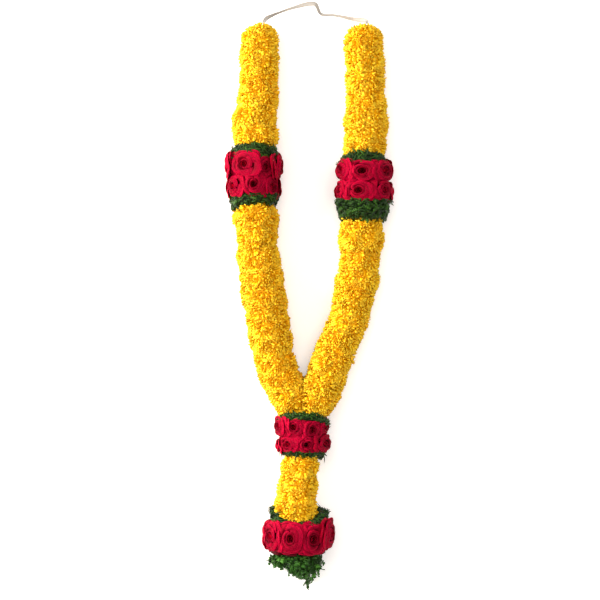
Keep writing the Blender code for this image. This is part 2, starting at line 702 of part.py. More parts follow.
def neck_ribbon(finish):
    """The ribbon's own solid: a plain tube along its route, from leg to leg."""
    curve = bpy.data.curves.new("neck_ribbon", "CURVE")
    curve.dimensions = "3D"
    curve.bevel_depth = RIBBON_RADIUS * MM
    curve.bevel_resolution = 2
    curve.use_fill_caps = True
    points = smooth_route(RIBBON_ROUTE, RIBBON_STEP)
    spline = curve.splines.new("POLY")
    spline.points.add(len(points) - 1)
    for target, point in zip(spline.points, points):
        target.co = (*(point * MM), 1.0)
    curve.materials.append(finish)
    thing = bpy.data.objects.new("neck_ribbon", curve)
    bpy.context.scene.collection.objects.link(thing)
    return thing


def build():
    """Make every piece of the garland."""
    clear_scene()
    yellow = material("chrysanthemum_petals", (0.91, 0.58, 0.012), 0.6)
    red = material("rose_petals", (0.60, 0.004, 0.03), 0.5)
    green = material("leaves", (0.03, 0.09, 0.02), 0.55)
    cotton = material("cotton_twine", (0.72, 0.66, 0.52), 0.85)
    gauze = material("gauze_ribbon", (0.74, 0.71, 0.68), 0.8)

    up = 0.0
    half = math.pi / HEADS_AROUND
    chrysanthemum_run("chrysanthemums_upper_left", LEFT_LEG, 505.8, 288.8, (0, 10), up, 1, yellow)
    chrysanthemum_run("chrysanthemums_upper_right", RIGHT_LEG, 505.8, 272.3, (0, 12), half, 2, yellow)
    chrysanthemum_run("chrysanthemums_lower_left", LEFT_LEG, 182.7, -192.2, (12, 14), half, 3, yellow)
    chrysanthemum_run("chrysanthemums_lower_right", RIGHT_LEG, 172.2, -192.2, (24, 14), up, 4, yellow)
    chrysanthemum_run("chrysanthemums_stem", STEM, -272.3, -379.7, (10, 15), up, 5, yellow)
    for band in ROSE_BANDS:
        rose_band(band, red)
    for name in LEAF_COLLARS:
        leaf_collar(name, green)
    tassel(green)
    core_string(cotton)
    neck_ribbon(gauze)


build()
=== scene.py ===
# %% [markdown]
# Chrysanthemum garland, laid flat
#
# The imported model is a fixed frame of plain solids: five runs of threaded heads, forty-five
# roses, seven collars of leaves, a tassel, a string and a ribbon. Every lesson below takes
# one kind of piece, reads its size from the frame and dresses it with its real petals or
# leaves. Lengths are metres, X is across the garland, Y runs up it and Z stands off the table.

import json
import math
import random

import bmesh
import bpy
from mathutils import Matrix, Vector
from mathutils.bvhtree import BVHTree

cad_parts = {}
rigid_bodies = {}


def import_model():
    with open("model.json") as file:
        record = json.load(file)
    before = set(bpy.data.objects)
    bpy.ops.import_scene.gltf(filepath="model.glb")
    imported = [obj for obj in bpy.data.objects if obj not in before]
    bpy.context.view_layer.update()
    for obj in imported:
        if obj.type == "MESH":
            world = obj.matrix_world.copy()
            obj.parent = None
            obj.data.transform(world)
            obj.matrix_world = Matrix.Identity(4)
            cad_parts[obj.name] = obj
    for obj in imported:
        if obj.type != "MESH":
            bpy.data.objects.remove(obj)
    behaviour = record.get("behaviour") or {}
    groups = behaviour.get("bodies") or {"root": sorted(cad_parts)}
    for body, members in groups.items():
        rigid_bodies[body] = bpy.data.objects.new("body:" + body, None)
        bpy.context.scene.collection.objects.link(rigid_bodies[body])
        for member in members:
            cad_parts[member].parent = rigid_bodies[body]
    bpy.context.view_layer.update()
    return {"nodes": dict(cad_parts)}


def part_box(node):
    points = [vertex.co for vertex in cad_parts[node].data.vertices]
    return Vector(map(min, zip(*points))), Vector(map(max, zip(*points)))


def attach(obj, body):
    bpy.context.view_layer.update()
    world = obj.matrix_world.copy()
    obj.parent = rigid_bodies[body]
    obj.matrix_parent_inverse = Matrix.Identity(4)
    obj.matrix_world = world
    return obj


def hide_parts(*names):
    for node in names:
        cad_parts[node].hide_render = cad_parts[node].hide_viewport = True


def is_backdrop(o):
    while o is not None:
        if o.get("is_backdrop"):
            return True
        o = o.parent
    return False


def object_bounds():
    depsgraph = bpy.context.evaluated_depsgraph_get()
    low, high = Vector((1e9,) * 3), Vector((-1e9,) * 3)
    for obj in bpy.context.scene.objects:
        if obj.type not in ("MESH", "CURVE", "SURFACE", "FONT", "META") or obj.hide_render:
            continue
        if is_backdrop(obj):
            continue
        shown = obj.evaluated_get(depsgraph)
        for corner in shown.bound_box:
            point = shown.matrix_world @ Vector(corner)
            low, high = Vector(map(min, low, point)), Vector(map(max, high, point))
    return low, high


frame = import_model()
MM = 0.001
TURN = 2 * math.pi

# %% [markdown]
# Three small helpers
#
# Colours are written as the hex values that a colour picker shows, which are sRGB, and
# Blender shades in linear light, so one function turns one into the other. Shader trees and
# Geometry Nodes trees are both trees of nodes, so one function adds a node to either: it
# sets the node's own options, fills the sockets that get a value and joins those that get
# another node. A node that is given whole stands for its output in use.

# %% Colour, nodes and materials


def linear(hex_colour):
    """Linear RGBA of an sRGB hex colour."""
    channels = [int(hex_colour[i:i + 2], 16) / 255 for i in (0, 2, 4)]
    return (*[c / 12.92 if c <= 0.04045 else ((c + 0.055) / 1.055) ** 2.4 for c in channels], 1.0)


def add_node(tree, kind, inputs=None, **settings):
    """Add a node. inputs maps a socket to a value, a node, a node's output or a list of nodes."""
    node = tree.nodes.new(kind)
    for name, value in settings.items():
        setattr(node, name, value)
    for socket, given in (inputs or {}).items():
        for value in given if isinstance(given, list) else [given]:
            if isinstance(value, bpy.types.Node):
                value = next(output for output in value.outputs if output.enabled)
            if isinstance(value, bpy.types.NodeSocket):
                tree.links.new(value, node.inputs[socket])
            else:
                node.inputs[socket].default_value = value
    return node


def new_material(name, **sockets):
    """A material with only a Principled shader, and that shader."""
    finish = bpy.data.materials.new(name)
    finish.use_nodes = True
    shader = finish.node_tree.nodes["Principled BSDF"]
    for socket, value in sockets.items():
        shader.inputs[socket.replace("_", " ")].default_value = value
    return finish, shader


print("lemon yellow in linear light:", [round(c, 3) for c in linear("FFDC3E")[:3]])

# %% [markdown]
# The camera
#
# The garland was photographed hanging, straight from the front. Laid on a table it is seen
# the same way from straight above. A long lens far off keeps the near and the far petals at
# the same scale, as in the photograph, whose frame is about 1.08 m wide at the flowers.

# %% Camera
FRAME_WIDTH = 1.08          # metres across the picture, at the middle of the flowers
FRAME_CENTRE = (-0.018, 0.0108)
FLOWER_HEIGHT = 0.07
LENS = 150.0                # millimetres, as is the sensor's width
SENSOR = 36.0

camera_data = bpy.data.cameras.new("camera")
camera_data.lens = LENS
camera_data.sensor_width = SENSOR
camera_data.clip_end = 100.0
camera = bpy.data.objects.new("camera", camera_data)
camera.location = (*FRAME_CENTRE, FLOWER_HEIGHT + FRAME_WIDTH * LENS / SENSOR)
bpy.context.scene.collection.objects.link(camera)
bpy.context.scene.camera = camera
bpy.context.scene.view_settings.view_transform = "Standard"
print("camera stands", round(camera.location.z, 2), "m above the table")

# %% [markdown]
# From points to pieces
#
# Every shape below starts as points and faces in a bmesh, which is a quick way to build a
# shape by a rule. Most are rows or rings of points with faces between them. Each finished
# piece then becomes an object at the origin, hangs from the frame's root body and hides the
# solid of the frame that it stands for.

# %% Meshes and pieces


def bridge(bm, rows, closed=False):
    """Faces between rows of points, and from each row's last point to its first if closed."""
    for first, second in zip(rows, rows[1:]):
        for k in range(len(first) if closed else len(first) - 1):
            following = (k + 1) % len(first)
            bm.faces.new((first[k], first[following], second[following], second[k]))


def as_triangles(bm):
    """Split every face into triangles that point outwards."""
    bmesh.ops.triangulate(bm, faces=bm.faces[:])
    bmesh.ops.recalc_face_normals(bm, faces=bm.faces[:])


def make_object(name, mesh, finish):
    """An object at the origin with one material."""
    mesh.name = name
    if not mesh.materials:
        mesh.materials.append(finish)
    thing = bpy.data.objects.new(name, mesh)
    bpy.context.scene.collection.objects.link(thing)
    return thing


def stands_for(thing, node):
    """Hang a finished piece from the frame's root body, and hide the frame node that it stands for."""
    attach(thing, "root")
    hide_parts(node)


def to_mesh(name, bm):
    """A mesh of a bmesh, shaded smooth."""
    mesh = bpy.data.meshes.new(name)
    bm.to_mesh(mesh)
    bm.free()
    mesh.shade_smooth()
    return mesh


solid_faces = sum(len(node.data.polygons) for node in frame["nodes"].values())
print("the plain solids have", solid_faces, "faces")

# %% [markdown]
# The gauze ribbon
#
# A strip of sheer gauze joins the tops of the legs. It is the only cord here. It leaves the
# string at the left leg, sinks to the table, folds over at its middle and climbs to the
# right leg. A curve with a bevel would give it one section all the way, so the strip is a
# mesh made along a smooth line through the points of its solid in the frame.

# %% Ribbon route
RIBBON_ROUTE = (
    (-84, 511.1, 35.5), (-83.6, 515, 34.8), (-81, 520, 30), (-77, 524.5, 22), (-71, 528.5, 12.5),
    (-63, 533, 5.6), (-48.6, 538.8, 3.3), (-33, 544, 3.2), (-18, 548.4, 3.2), (-4, 551.6, 3.2),
    (8.5, 551.8, 3.4), (13.4, 546, 3.2), (17.6, 536.2, 3.2), (24, 532, 3.2), (42, 531.2, 3.2),
    (60, 528, 3.2), (74, 525, 3.4), (83, 523, 6), (91, 521.4, 13), (97, 520, 22),
    (101.5, 517.8, 30), (103.2, 514.6, 34.6), (103.5, 512.0, 35.5),
)
RIBBON_STEPS = 10           # points along it between two of the route


def smooth_line(points, steps):
    """Points on a smooth curve through the given ones."""
    nodes = [Vector(point) * MM for point in points]
    line = []
    for i in range(len(nodes) - 1):
        before = nodes[max(i - 1, 0)]
        after = nodes[min(i + 2, len(nodes) - 1)]
        for step in range(steps):
            t = step / steps
            line.append(0.5 * (
                2 * nodes[i] + (nodes[i + 1] - before) * t
                + (2 * before - 5 * nodes[i] + 4 * nodes[i + 1] - after) * t**2
                + (3 * nodes[i] - before - 3 * nodes[i + 1] + after) * t**3))
    line.append(nodes[-1])
    return line


ribbon_line = smooth_line(RIBBON_ROUTE, RIBBON_STEPS)

# %% [markdown]
# Gathers in the gauze
#
# Nobody lays gauze flat: it turns on its edge here and there, draws together and holds
# small folds. Each of these is a wave along the way, and the section is a shallow zigzag
# that shifts with them, so that the light catches some folds and leaves others grey.

# %% Ribbon strip
RIBBON_WIDTH = 6.5 * MM
RIBBON_FOLDS = 9            # points across the strip
GAUZE_WALL = 0.18 * MM
STRIP_TURN = (0.5, 45)      # how far it turns on its edge, and how fast that changes along the way
STRIP_SQUEEZE = (0.88, 0.30, 60)    # its mean width, how much that changes, and how fast
BROAD_FOLD = (0.55 * MM, 2.2, 90)   # height, change across the strip and change along it
FINE_FOLD = (0.35 * MM, 3.7, -210)
TIED_POINTS = 12            # the strip narrows towards its knots over this many points
TIED_WIDTH = 0.45
TABLE_GAP = 0.5 * MM


def gathered_strip(name, line, width, finish):
    """A strip along a line, gathered into folds that shift along the way."""
    draw = random.Random(7)
    phases = [draw.uniform(0, TURN) for _ in range(3)]
    bm = bmesh.new()
    edge_layer = bm.verts.layers.float.new("across")
    rows = []
    travelled = 0.0
    for i, point in enumerate(line):
        along = (line[min(i + 1, len(line) - 1)] - line[max(i - 1, 0)]).normalized()
        side = along.cross(Vector((0, 0, 1))).normalized()
        up = side.cross(along).normalized()
        travelled += (point - line[max(i - 1, 0)]).length
        turn = STRIP_TURN[0] * math.sin(travelled * STRIP_TURN[1] + phases[0])
        mean, change, rate = STRIP_SQUEEZE
        squeeze = mean + change * math.sin(travelled * rate + phases[1])
        end = min(i, len(line) - 1 - i) / TIED_POINTS
        squeeze *= TIED_WIDTH + (1 - TIED_WIDTH) * min(end, 1.0)
        row = []
        for k in range(RIBBON_FOLDS):
            across = (k / (RIBBON_FOLDS - 1) - 0.5) * width * squeeze
            fold = BROAD_FOLD[0] * math.sin(k * BROAD_FOLD[1] + travelled * BROAD_FOLD[2] + phases[2])
            fold += FINE_FOLD[0] * math.sin(k * FINE_FOLD[1] + travelled * FINE_FOLD[2])
            place = point + side * (across * math.cos(turn) - fold * math.sin(turn))
            place += up * (across * math.sin(turn) + fold * math.cos(turn))
            place.z = max(place.z, TABLE_GAP)
            vert = bm.verts.new(place)
            vert[edge_layer] = abs(2 * k / (RIBBON_FOLDS - 1) - 1)
            row.append(vert)
        rows.append(row)
    bridge(bm, rows)
    bmesh.ops.recalc_face_normals(bm, faces=bm.faces[:])
    strip = make_object(name, to_mesh(name, bm), finish)
    wall = strip.modifiers.new("wall", "SOLIDIFY")
    wall.thickness = GAUZE_WALL
    wall.offset = 0.0
    return strip


print("the strip has", RIBBON_FOLDS, "points across and", len(ribbon_line), "along")

# %% [markdown]
# The finish of the gauze
#
# A single layer of gauze is mostly holes, and looks grey against white. Real holes would
# take thousands of faces for a ribbon this narrow. So the strip is closed, and its colour
# and a small bump say what it is.

# %% Gauze and ribbon
# Sheer cotton gauze is matt and grey where a single layer is seen, and its edges have taken
# up some of the brown of the stalks. Its threads lie about 0.6 mm apart, drawn nearly twice
# as coarse so that they show.
gauze, shader = new_material("sheer_cotton_gauze", Roughness=0.8, IOR=1.5)
tree = gauze.node_tree
edge = add_node(tree, "ShaderNodeAttribute", attribute_name="across").outputs["Fac"]
place = add_node(tree, "ShaderNodeTexCoord").outputs["Object"]
stain = add_node(tree, "ShaderNodeTexNoise", {"Vector": place, "Scale": 160.0, "Detail": 2.0})
amount = add_node(tree, "ShaderNodeMapRange", {0: edge, 1: 0.55, 2: 1.0, 3: 0.0, 4: 0.75})
amount = add_node(tree, "ShaderNodeMath", {0: amount, 1: stain}, operation="MULTIPLY")
colour = add_node(tree, "ShaderNodeMix", {
    0: amount, 6: linear("A6A099"), 7: linear("8A6654")}, data_type="RGBA")
tree.links.new(colour.outputs[2], shader.inputs["Base Color"])
weave = add_node(tree, "ShaderNodeTexVoronoi", {"Vector": place, "Scale": 900.0})
bump = add_node(tree, "ShaderNodeBump", {"Height": weave, "Strength": 0.35, "Distance": 0.6 * MM})
tree.links.new(bump.outputs["Normal"], shader.inputs["Normal"])

ribbon = gathered_strip("gauze_neck_ribbon", ribbon_line, RIBBON_WIDTH, gauze)
stands_for(ribbon, "neck_ribbon")
print("the strip has", len(ribbon.data.polygons), "faces")

# %% [markdown]
# Table and light
#
# The table is plain and pale, and reaches far past the picture. One large soft light stands
# to the left and a little towards the neck, because the photograph's petals are lemon
# yellow on their left and deep amber on their right. A weak sky fills the shadows. The table
# is matt paper that gives off a little light of its own, so that the ground is as evenly
# white as a cut-out's.

# %% Table and lights
TABLE_SIZE = 14.0
TABLE_GLOW = 0.25
SKY_STRENGTH = 0.75
LIGHT_TARGET = (0, 0, 0.03)
LIGHTS = (
    # name, place and width in metres, power in watts, colour
    ("key_left", (-2.0, 0.6, 0.98), 1.2, 120.0, "FFFAF0"),
    ("fill_top", (0.3, 0.6, 3.6), 2.6, 66.0, "F4F8FF"),
)


def soft_light(name, place, size, power, tint):
    """A square area light that looks at the middle of the garland."""
    lamp = bpy.data.lights.new(name, "AREA")
    lamp.energy = power
    lamp.size = size
    lamp.color = linear(tint)[:3]
    thing = bpy.data.objects.new(name, lamp)
    thing.location = place
    thing.rotation_euler = (Vector(LIGHT_TARGET) - Vector(place)).to_track_quat("-Z", "Y").to_euler()
    bpy.context.scene.collection.objects.link(thing)


table_bm = bmesh.new()
bmesh.ops.create_grid(table_bm, x_segments=1, y_segments=1, size=TABLE_SIZE / 2)
paper, shader = new_material("matt_white_table", Roughness=0.9)
shader.inputs["Base Color"].default_value = linear("F7F7F5")
shader.inputs["Emission Color"].default_value = linear("FFFFFF")
shader.inputs["Emission Strength"].default_value = TABLE_GLOW
table = make_object("table", to_mesh("table", table_bm), paper)
table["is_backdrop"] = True

for values in LIGHTS:
    soft_light(*values)
sky = bpy.data.worlds.new("studio")
sky.use_nodes = True
sky.node_tree.nodes["Background"].inputs["Color"].default_value = linear("FFF6EA")
sky.node_tree.nodes["Background"].inputs["Strength"].default_value = SKY_STRENGTH
bpy.context.scene.world = sky

# %% [markdown]
# A bed for petals and leaves
#
# The frame's solids have the right place and girth, with coarse whorls cut into them. What
# the petals grow from is a softer form just under those whorls. It is made from a copy of
# the solid: its points are merged, the hole for the string is closed, a voxel remesh turns
# its facets into an even skin and a smoothing takes the whorls down to swellings. This way
# the fine pieces always sit where the frame says.

# %% Bed
string_node = frame["nodes"]["core_string"]
string_verts = [vert.co.copy() for vert in string_node.data.vertices]
string_faces = [tuple(face.vertices) for face in string_node.data.polygons]
string_skin = BVHTree.FromPolygons(string_verts, string_faces)
STRING_CLEARANCE = 1.2 * MM
STRING_WINDOW = 70 * MM     # how far up and down the string is looked for
SAME_POINT = 0.02 * MM
TABLE_SOFTNESS = 3.0 * MM   # below this height, flowers are pressed against the table


def string_centre(place):
    """The middle of the string beside a place, at its height along the garland."""
    slices = {}
    for point in string_verts:
        if abs(point.y - place.y) < STRING_WINDOW and abs(point.x - place.x) < 2 * STRING_WINDOW:
            slices.setdefault(round(point.y / MM), []).append(point)
    below = max(y for y in slices if y * MM <= place.y)
    above = min(y for y in slices if y * MM > place.y)
    ends = []
    for y in (below, above):
        points = slices[y]
        ends.append([(min(p[k] for p in points) + max(p[k] for p in points)) / 2 for k in (0, 2)])
    share = (place.y / MM - below) / (above - below)
    x, z = (a + (b - a) * share for a, b in zip(*ends))
    return Vector((x, place.y, z))


def merged_copy(node):
    """A bmesh of a frame node whose facets share their points, with no hole for the string."""
    bm = bmesh.new()
    bm.from_mesh(frame["nodes"][node].data)
    bmesh.ops.remove_doubles(bm, verts=bm.verts[:], dist=SAME_POINT)
    bore = [vert for vert in bm.verts
            if string_skin.find_nearest(vert.co, STRING_CLEARANCE)[0] is not None]
    bmesh.ops.delete(bm, geom=bore, context="VERTS")
    bmesh.ops.holes_fill(bm, edges=[edge for edge in bm.edges if edge.is_boundary])
    bmesh.ops.triangulate(bm, faces=bm.faces[:])
    return bm


def bed_of(node, voxel, rounds):
    """An object with the soft skin of a frame node, for petals to grow from."""
    bm = merged_copy(node)
    mesh = bpy.data.meshes.new(node + "_bed")
    bm.to_mesh(mesh)
    bm.free()
    bed = bpy.data.objects.new(node + "_bed", mesh)
    bpy.context.scene.collection.objects.link(bed)
    remesh = bed.modifiers.new("remesh", "REMESH")
    remesh.mode = "VOXEL"
    remesh.voxel_size = voxel
    soften = bed.modifiers.new("soften", "SMOOTH")
    soften.iterations = rounds
    soften.factor = 0.5
    return bed


def plain_mesh(thing, name):
    """The evaluated mesh of an object, with its modifiers and the object gone."""
    graph = bpy.context.evaluated_depsgraph_get()
    mesh = bpy.data.meshes.new_from_object(thing.evaluated_get(graph))
    mesh.name = name
    bpy.data.objects.remove(thing)
    return mesh


def press_on_table(mesh):
    """Points that would sink into the table are pressed flat against it."""
    for vert in mesh.vertices:
        if vert.co.z < TABLE_SOFTNESS:
            vert.co.z = TABLE_SOFTNESS * math.exp((vert.co.z - TABLE_SOFTNESS) / TABLE_SOFTNESS)


print("string has", len(string_verts), "points")

# %% [markdown]
# One petal
#
# A chrysanthemum's ray petal is a narrow tongue with a cupped tip. Thousands are needed, so
# each has twenty faces: a point at its root, a narrow section, a broad one and a blunt
# tip. Five shapes that curl and cup by different amounts are enough to look like thousands.
# The attribute tip grows from 0 at the root to 1 at the tip, and the colour follows it.

# %% Petal shapes
PETAL_LENGTH = 11.0 * MM
PETAL_SHAPES = (
    # half width in mm, curl of the tip outwards, depth of the cup, twist, notch of the tip
    (2.50, 0.30, 0.55, 0.0, 0.8),
    (2.20, 0.60, 0.70, 0.30, 0.5),
    (2.80, -0.25, 0.50, -0.20, 1.2),
    (2.30, 0.95, 0.60, -0.40, 0.9),
    (2.60, 0.10, 0.85, 0.15, 1.0),
)
PETAL_SECTIONS = ((0.36, 0.62), (0.74, 1.0))   # place along it, width as a share of the broadest
TIP_PLACES = (0.94, 0.96, 1.02)     # left, right and middle of the blunt tip
TIP_WIDTH = 0.62
ROLL = 4.2 * MM             # how far a petal of curl 1 rolls back
ROLL_POWER = 2.2            # the higher, the nearer its tip it begins
TIP_ROLL = 5.6 * MM
PETAL_RIB = 0.4 * MM        # thickness at its middle
RIM_RISE = 0.2              # its rims stand up by this share of the cup
TIP_CUP = 0.35 * MM
NOTCH_DEPTH = 0.06          # of a notch of 1, as a share of the length


def petal_shape(name, half_width, curl, cup, twist, notch):
    """A petal that stands along +Z, its back towards +Y, with its root at the origin."""
    bm = bmesh.new()
    tip_layer = bm.verts.layers.float.new("tip")

    def corner(x, y, share, back):
        turn = twist * share
        turned = (x * math.cos(turn) - y * math.sin(turn), x * math.sin(turn) + y * math.cos(turn), 0)
        vert = bm.verts.new(Vector(turned) + Vector((0, back, PETAL_LENGTH * share)))
        vert[tip_layer] = min(share, 1.0)
        return vert

    sections = []
    for share, wide in PETAL_SECTIONS:
        back = curl * share**ROLL_POWER * ROLL
        half = half_width * wide * MM
        places = ((-half, -RIM_RISE * cup * half), (0, cup * half),
                  (half, -RIM_RISE * cup * half), (0, cup * half + PETAL_RIB))
        sections.append([corner(x, y, share, back) for x, y in places])
    root = corner(0, 0, 0, 0)
    low, high = sections
    end_back = curl * TIP_ROLL
    left = corner(-half_width * TIP_WIDTH * MM, 0, TIP_PLACES[0], end_back)
    right = corner(half_width * TIP_WIDTH * MM, 0, TIP_PLACES[1], end_back)
    middle = corner(0, TIP_CUP, TIP_PLACES[2] - NOTCH_DEPTH * notch, end_back)
    for k in range(4):
        bm.faces.new((root, low[(k + 1) % 4], low[k]))
        bm.faces.new((low[k], low[(k + 1) % 4], high[(k + 1) % 4], high[k]))
    bm.faces.new((high[0], high[1], middle, left))
    bm.faces.new((high[1], high[2], right, middle))
    bm.faces.new((high[2], high[3], middle, right))
    bm.faces.new((high[3], high[0], left, middle))
    as_triangles(bm)
    return bpy.data.objects.new(name, to_mesh(name, bm))


def shape_box(name, things):
    """A collection of shapes for Geometry Nodes to pick from, which is not shown."""
    box = bpy.data.collections.new(name)
    for thing in things:
        box.objects.link(thing)
    return box


petal_box = shape_box("petal_shapes", [
    petal_shape(f"petal_{number}", *values) for number, values in enumerate(PETAL_SHAPES)])

# %% [markdown]
# Whorls of petals from one tree of nodes
#
# Real heads are threaded side by side until their petals press together. The tree follows
# that. It sinks the bed a little, scatters the middles of the heads over it at an even
# spacing, then the roots of the petals much closer. Each root looks for the nearest middle:
# a petal near it bends in over the middle, one further off stands up, and one at the rim
# leans out, so that domed whorls and the furrows between them appear by themselves. All of
# them droop a little towards the tassel, and so cover the bed like tiles. The bed itself
# goes in too, sunk below the roots, to close the gaps. Two random values, one for each head
# and one for each petal, are kept for the colour.

# %% Tree for the whorls
HEAD_CROWD = 60000.0        # points a square metre before the spacing thins them out
PETAL_CROWD = 900000.0
MIDDLE_REACH = 1.5          # a petal two thirds of the spacing from its middle leans out fully
PETAL_SIZES = (0.88, 1.08)
# The sunk bed shows between the petals, and its colour, that of a petal's lower part, is painted shade.
GROUND_SINK = 0.9           # the bed sinks again by this share of the inset
GROUND_SHADE_TIP = 0.32           # and has the colour of a petal's lower part


def new_tree(name, sockets):
    """A Geometry Nodes tree with a geometry in and out, and named inputs."""
    tree = bpy.data.node_groups.new(name, "GeometryNodeTree")
    tree.interface.new_socket(name="Geometry", in_out="INPUT", socket_type="NodeSocketGeometry")
    tree.interface.new_socket(name="Geometry", in_out="OUTPUT", socket_type="NodeSocketGeometry")
    for socket, kind in sockets.items():
        tree.interface.new_socket(name=socket, in_out="INPUT", socket_type="NodeSocket" + kind)
    return tree, add_node(tree, "NodeGroupInput").outputs


def set_inputs(modifier, values):
    """Fill a modifier's inputs, by the names that they have in its tree."""
    for item in modifier.node_group.interface.items_tree:
        if item.in_out == "INPUT" and item.name in values:
            modifier[item.identifier] = values[item.name]


def whorl_tree():
    """Tree that covers a bed with whorls of petals."""
    tree, given = new_tree("whorls_of_petals", {
        "Petals": "Collection", "Material": "Material", "Inset": "Float", "Head spacing": "Float",
        "Petal spacing": "Float", "Lean": "Float", "Upright at": "Float", "Droop": "Float",
        "Root depth": "Float", "Unevenness": "Float", "Seed": "Int",
    })
    place = add_node(tree, "GeometryNodeInputPosition")
    skin = add_node(tree, "GeometryNodeInputNormal")
    inward = add_node(tree, "ShaderNodeMath", {0: given["Inset"], 1: -1.0}, operation="MULTIPLY")
    inward = add_node(tree, "ShaderNodeVectorMath", {0: skin, "Scale": inward}, operation="SCALE")
    bed = add_node(tree, "GeometryNodeSetPosition", {"Geometry": given["Geometry"], "Offset": inward})

    heads = add_node(tree, "GeometryNodeDistributePointsOnFaces", {
        "Mesh": bed, "Distance Min": given["Head spacing"], "Density Max": HEAD_CROWD,
        "Seed": given["Seed"]}, distribute_method="POISSON")
    second_seed = add_node(tree, "ShaderNodeMath", {0: given["Seed"], 1: 50.0}, operation="ADD")
    scatter = add_node(tree, "GeometryNodeDistributePointsOnFaces", {
        "Mesh": bed, "Distance Min": given["Petal spacing"], "Density Max": PETAL_CROWD,
        "Seed": second_seed}, distribute_method="POISSON")
    roots, normal = scatter.outputs["Points"], scatter.outputs["Normal"]
    nearest = add_node(tree, "GeometryNodeSampleNearest", {"Geometry": heads})
    middle = add_node(tree, "GeometryNodeSampleIndex", {
        "Geometry": heads, "Value": place, "Index": nearest}, data_type="FLOAT_VECTOR")
    head_draw = add_node(tree, "FunctionNodeRandomValue", {"Seed": 3}, data_type="FLOAT")
    head_shade = add_node(tree, "GeometryNodeSampleIndex", {
        "Geometry": heads, "Value": head_draw, "Index": nearest}, data_type="FLOAT")

    offset = add_node(tree, "ShaderNodeVectorMath", {0: place, 1: middle}, operation="SUBTRACT")
    rise = add_node(tree, "ShaderNodeVectorMath", {0: offset, 1: normal}, operation="PROJECT")
    flat = add_node(tree, "ShaderNodeVectorMath", {0: offset, 1: rise}, operation="SUBTRACT")
    outward = add_node(tree, "ShaderNodeVectorMath", {0: flat}, operation="NORMALIZE")
    far = add_node(tree, "ShaderNodeVectorMath", {0: flat}, operation="LENGTH")
    reach = add_node(tree, "ShaderNodeMath", {0: far, 1: given["Head spacing"]}, operation="DIVIDE")
    reach = add_node(tree, "ShaderNodeMath", {
        0: reach, 1: MIDDLE_REACH}, operation="MULTIPLY", use_clamp=True)
    lean = add_node(tree, "ShaderNodeMath", {0: reach, 1: given["Upright at"]}, operation="SUBTRACT")
    lean = add_node(tree, "ShaderNodeMath", {0: lean, 1: given["Lean"]}, operation="MULTIPLY")
    leaning = add_node(tree, "ShaderNodeVectorMath", {0: outward, "Scale": lean}, operation="SCALE")
    way = add_node(tree, "ShaderNodeVectorMath", {0: normal, 1: leaning}, operation="ADD")
    chance = add_node(tree, "FunctionNodeRandomValue", {
        0: (-1.0, -1.0, -1.0), 1: (1.0, 1.0, 1.0), "Seed": 11}, data_type="FLOAT_VECTOR")
    chance = add_node(tree, "ShaderNodeVectorMath", {
        0: chance, "Scale": given["Unevenness"]}, operation="SCALE")
    way = add_node(tree, "ShaderNodeVectorMath", {0: way, 1: chance}, operation="ADD")
    droop = add_node(tree, "ShaderNodeCombineXYZ", {"Y": given["Droop"]})
    way = add_node(tree, "ShaderNodeVectorMath", {0: way, 1: droop}, operation="SUBTRACT")
    way = add_node(tree, "ShaderNodeVectorMath", {0: way}, operation="NORMALIZE")
    turn = add_node(tree, "FunctionNodeAxesToRotation", {
        "Primary Axis": way, "Secondary Axis": leaning}, primary_axis="Z", secondary_axis="Y")

    size = add_node(tree, "FunctionNodeRandomValue", {
        2: PETAL_SIZES[0], 3: PETAL_SIZES[1], "Seed": 5}, data_type="FLOAT")
    pick = add_node(tree, "FunctionNodeRandomValue", {4: 0, 5: 999, "Seed": 8}, data_type="INT")
    petal_draw = add_node(tree, "FunctionNodeRandomValue", {"Seed": 21}, data_type="FLOAT")
    kept = add_node(tree, "GeometryNodeStoreNamedAttribute", {
        "Geometry": roots, "Name": "head_shade", "Value": head_shade}, data_type="FLOAT", domain="POINT")
    kept = add_node(tree, "GeometryNodeStoreNamedAttribute", {
        "Geometry": kept, "Name": "petal_shade", "Value": petal_draw}, data_type="FLOAT", domain="POINT")
    shapes = add_node(tree, "GeometryNodeCollectionInfo", {
        "Collection": given["Petals"], "Separate Children": True, "Reset Children": True})
    placed = add_node(tree, "GeometryNodeInstanceOnPoints", {
        "Points": kept, "Instance": shapes, "Pick Instance": True,
        "Instance Index": pick, "Rotation": turn, "Scale": size})
    sink = add_node(tree, "ShaderNodeMath", {0: given["Root depth"], 1: -1.0}, operation="MULTIPLY")
    sunk = add_node(tree, "ShaderNodeVectorMath", {0: way, "Scale": sink}, operation="SCALE")
    lowered = add_node(tree, "GeometryNodeSetPosition", {"Geometry": placed, "Offset": sunk})
    real = add_node(tree, "GeometryNodeRealizeInstances", {"Geometry": lowered})
    deeper = add_node(tree, "ShaderNodeVectorMath", {0: inward, "Scale": GROUND_SINK}, operation="SCALE")
    ground = add_node(tree, "GeometryNodeSetPosition", {"Geometry": bed, "Offset": deeper})
    # Painted shade: the sunk bed takes the amber of a petal's lower part.
    ground = add_node(tree, "GeometryNodeStoreNamedAttribute", {
        "Geometry": ground, "Name": "tip", "Value": GROUND_SHADE_TIP}, data_type="FLOAT", domain="POINT")
    both = add_node(tree, "GeometryNodeJoinGeometry", {0: [real, ground]})
    done = add_node(tree, "GeometryNodeSetMaterial", {"Geometry": both, "Material": given["Material"]})
    add_node(tree, "NodeGroupOutput", {0: done})
    return tree


whorls = whorl_tree()
print("the tree has", len(whorls.nodes), "nodes")
